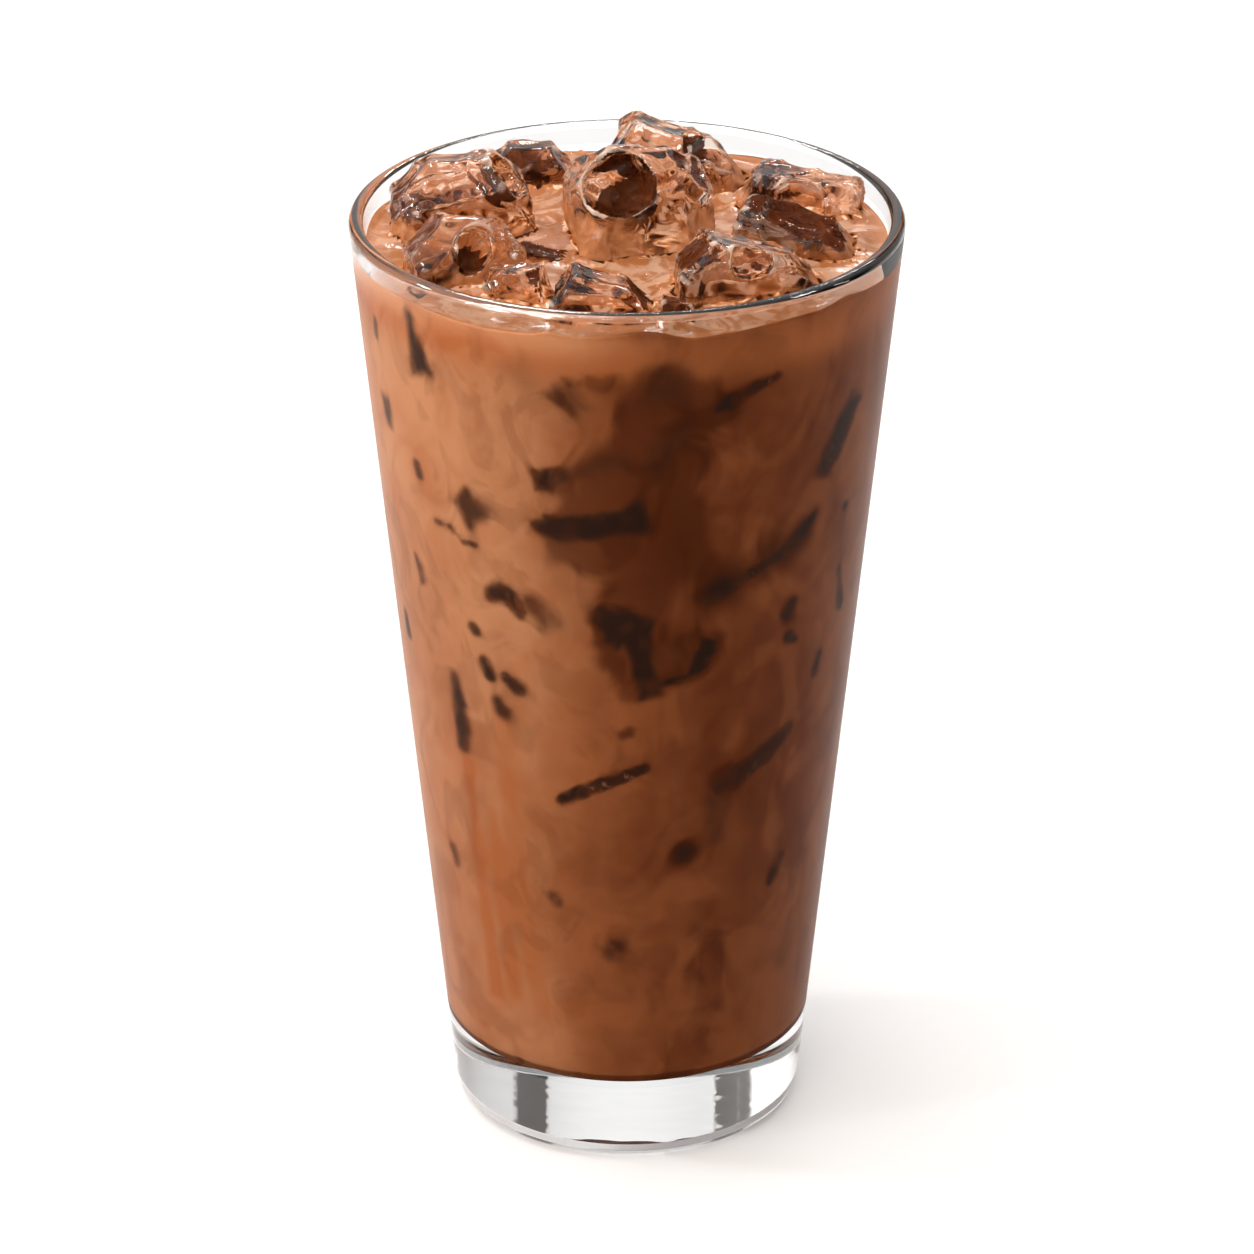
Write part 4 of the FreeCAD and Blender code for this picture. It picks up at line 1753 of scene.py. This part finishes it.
@dataclass
class Studio:
    """Pale floor, soft light and the camera."""

    floor_half: float = 3.0
    distance: float = 0.928
    elevation: float = 25.05
    aim_height: float = 0.0848
    lens: float = 161.05

    def build(self) -> None:
        """Makes the floor, the light and the camera."""
        self._floor()
        self._sky()
        self._lamp("key_left", (-0.55, 0.05, 0.48), (0.06, 0.06), 1.0)
        self._lamp("strip_left", (-0.60, -0.28, 0.42), (0.014, 0.36), 0.7)
        self._lamp("strip_front", (-0.16, -0.60, 0.66), (0.30, 0.012), 0.45)
        self._lamp("strip_back", (0.10, 0.62, 0.58), (0.40, 0.014), 1.0)
        self._lamp("strip_right", (0.66, 0.08, 0.40), (0.022, 0.24), 0.35)
        self._glint("glint_left", (-0.45, -0.25, 0.68), 0.14, 3.2)
        self._glint("glint_back", (-0.12, 0.60, 0.78), 0.14, 2.6)
        self._glint("glint_right", (0.52, 0.02, 0.66), 0.10, 1.4)
        self._camera()
        bpy.context.scene.view_settings.view_transform = "Standard"

    def _floor(self) -> None:
        """Matt white sweep."""
        made = bpy.data.materials.new("floor_white")
        net = Net(made)
        grain = net.clouds(net.place(), 60.0, 2.0)
        base = net.mix(grain * 0.02, (0.93, 0.93, 0.93), (0.90, 0.90, 0.90))
        net.finish(net.node("ShaderNodeBsdfPrincipled", {}, {
            "Base Color": base, "Roughness": 0.9, "Specular IOR Level": 0.1}))
        half = self.floor_half
        corners = np.array([(-half, -half, 0.0), (half, -half, 0.0), (half, half, 0.0), (-half, half, 0.0)])
        add_piece("floor", corners, [(0, 1, 2, 3)], [made])

    def _sky(self) -> None:
        """Soft light all round: brightest above and behind, darker at the front, in two side strips and in two
        torn bars behind, which the rim and the base pick up as dark lines and patches.
        """
        world = bpy.data.worlds.new("studio")
        bpy.context.scene.world = world
        net = Net(world)
        way = Sock(net, net.node("ShaderNodeTexCoord", {}, {}).outputs["Generated"])
        parts = net.node("ShaderNodeSeparateXYZ", {}, {0: way})
        x, y, z = (Sock(net, parts.outputs[i]) for i in range(3))
        above = net.step(z, 0.35, 0.90)
        behind = net.step(y, 0.10, 0.75)
        left = net.step(x * -0.80 - y * 0.35 + z * 0.45, 0.05, 0.85)
        glow = net.step(y, 0.78, 0.90) * net.step(z, 0.16, 0.34) * net.step(z, 0.66, 0.50)
        level = 0.12 + behind * 0.50 + above * 0.80 + left * 1.25 + glow * 0.30
        strip = (net.step(x, 0.84, 0.95) + net.step(x, -0.86, -0.96) * 0.45) * net.step(z, 0.55, 0.35)
        tears = net.node("ShaderNodeTexNoise", {}, {"Vector": way, "Scale": 9.0, "Detail": 6.0})
        ragged = x + (Sock(net, tears.outputs["Fac"]) - 0.5) * 0.26
        bars = net.step(ragged, 0.32, 0.35) * net.step(ragged, 0.50, 0.45)
        bars = bars + net.step(ragged, -0.33, -0.36) * net.step(ragged, -0.55, -0.49) * 0.95
        bars = bars * net.step(y, 0.45, 0.60) * net.step(z, 0.70, 0.55)
        level = level * (1 - strip * 0.80) * (1 - bars * 0.88)
        seen = Sock(net, net.node("ShaderNodeLightPath", {}, {}).outputs["Is Camera Ray"])
        strength = level * (1 - seen) + seen * 1.05
        dim = (net.step(y, 0.15, -0.35) + bars) * (1 - seen)
        colour = net.mix(dim.clamp(), (1.0, 0.995, 0.985), (1.0, 0.93, 0.87))
        net.finish(net.node("ShaderNodeBackground", {}, {"Color": colour, "Strength": strength}))

    def _glint(self, name: str, place: tuple[float, float, float], size: float, power: float) -> None:
        """Lamp that only sparkles on wet ice, the drink's skin and the rim, and lights nothing matt."""
        self._lamp(name, place, (size, size), power).visible_diffuse = False

    @staticmethod
    def _lamp(name: str, place: tuple[float, float, float], size: tuple[float, float],
              power: float) -> bpy.types.Object:
        """Makes a soft box or strip light that faces the glass.

        Args:
            name: its name.
            place: where it hangs, in metres.
            size: its width and height in metres.
            power: its power in watts.

        Returns:
            The lamp.
        """
        light = bpy.data.lights.new(name, "AREA")
        light.shape, light.energy = "RECTANGLE", power
        light.size, light.size_y = size
        lamp = bpy.data.objects.new(name, light)
        lamp.location = place
        lamp.rotation_euler = (LAMP_AIM - Vector(place)).to_track_quat("-Z", "Y").to_euler()
        bpy.context.scene.collection.objects.link(lamp)
        return lamp

    def _camera(self) -> None:
        """Camera at the front, looking down at the glass."""
        data = bpy.data.cameras.new("camera")
        data.lens, data.sensor_width = self.lens, 36.0
        data.clip_start, data.clip_end = 0.01, 50.0
        camera = bpy.data.objects.new("camera", data)
        lean = math.radians(self.elevation)
        camera.location = (0.0, -self.distance * math.cos(lean), self.aim_height + self.distance * math.sin(lean))
        camera.rotation_euler = (math.pi / 2 - lean, 0.0, 0.0)
        bpy.context.scene.collection.objects.link(camera)
        bpy.context.scene.camera = camera


def report(piece: bpy.types.Object) -> None:
    """Logs a piece's name, triangles and size.

    Args:
        piece: the finished piece.
    """
    triangles = sum(len(face.vertices) - 2 for face in piece.data.polygons)
    size = tuple(round(s * 1000, 1) for s in piece.dimensions)
    LOG.info("%s: %d triangles, %s mm", piece.name, triangles, size)


def main() -> None:
    """Builds the studio, the glass, the cubes, the drink, the sunk ice, the painted shade in the cubes, their milk
    film with painted highlights and the froth.
    """
    logging.basicConfig(level=logging.INFO, format="%(message)s")
    Studio().build()
    tumbler = Tumbler()
    dull = (0.1, 0.1, 0.1)
    report(tumbler.build((ClearGlass("wall_glass", mirror=dull, varied=True), ClearGlass("rim_glass"),
                          ClearGlass("underside_glass", ior=1.0), ClearGlass("base_glass", wave_mm=0.09),
                          # Painted shade: the band of glass just under the rim is tinted grey
                          ClearGlass("band_glass", tint=(0.80, 0.805, 0.81), mirror=dull, varied=True))))
    ice = IceHeap().build(MeltingIce())
    for cube in ice:
        report(cube)
    coffee = MilkyCoffee()
    drink = Drink(tumbler)
    body = drink.build(coffee, ice)
    report(body)
    report(SunkIce(tumbler, drink).build(coffee))
    coating = Coating()
    report(coating.linings(coffee, ice))
    report(coating.film(coffee, ice))
    report(Froth(drink).build(Bubble(), body, ice))


if __name__ == "__main__":
    main()
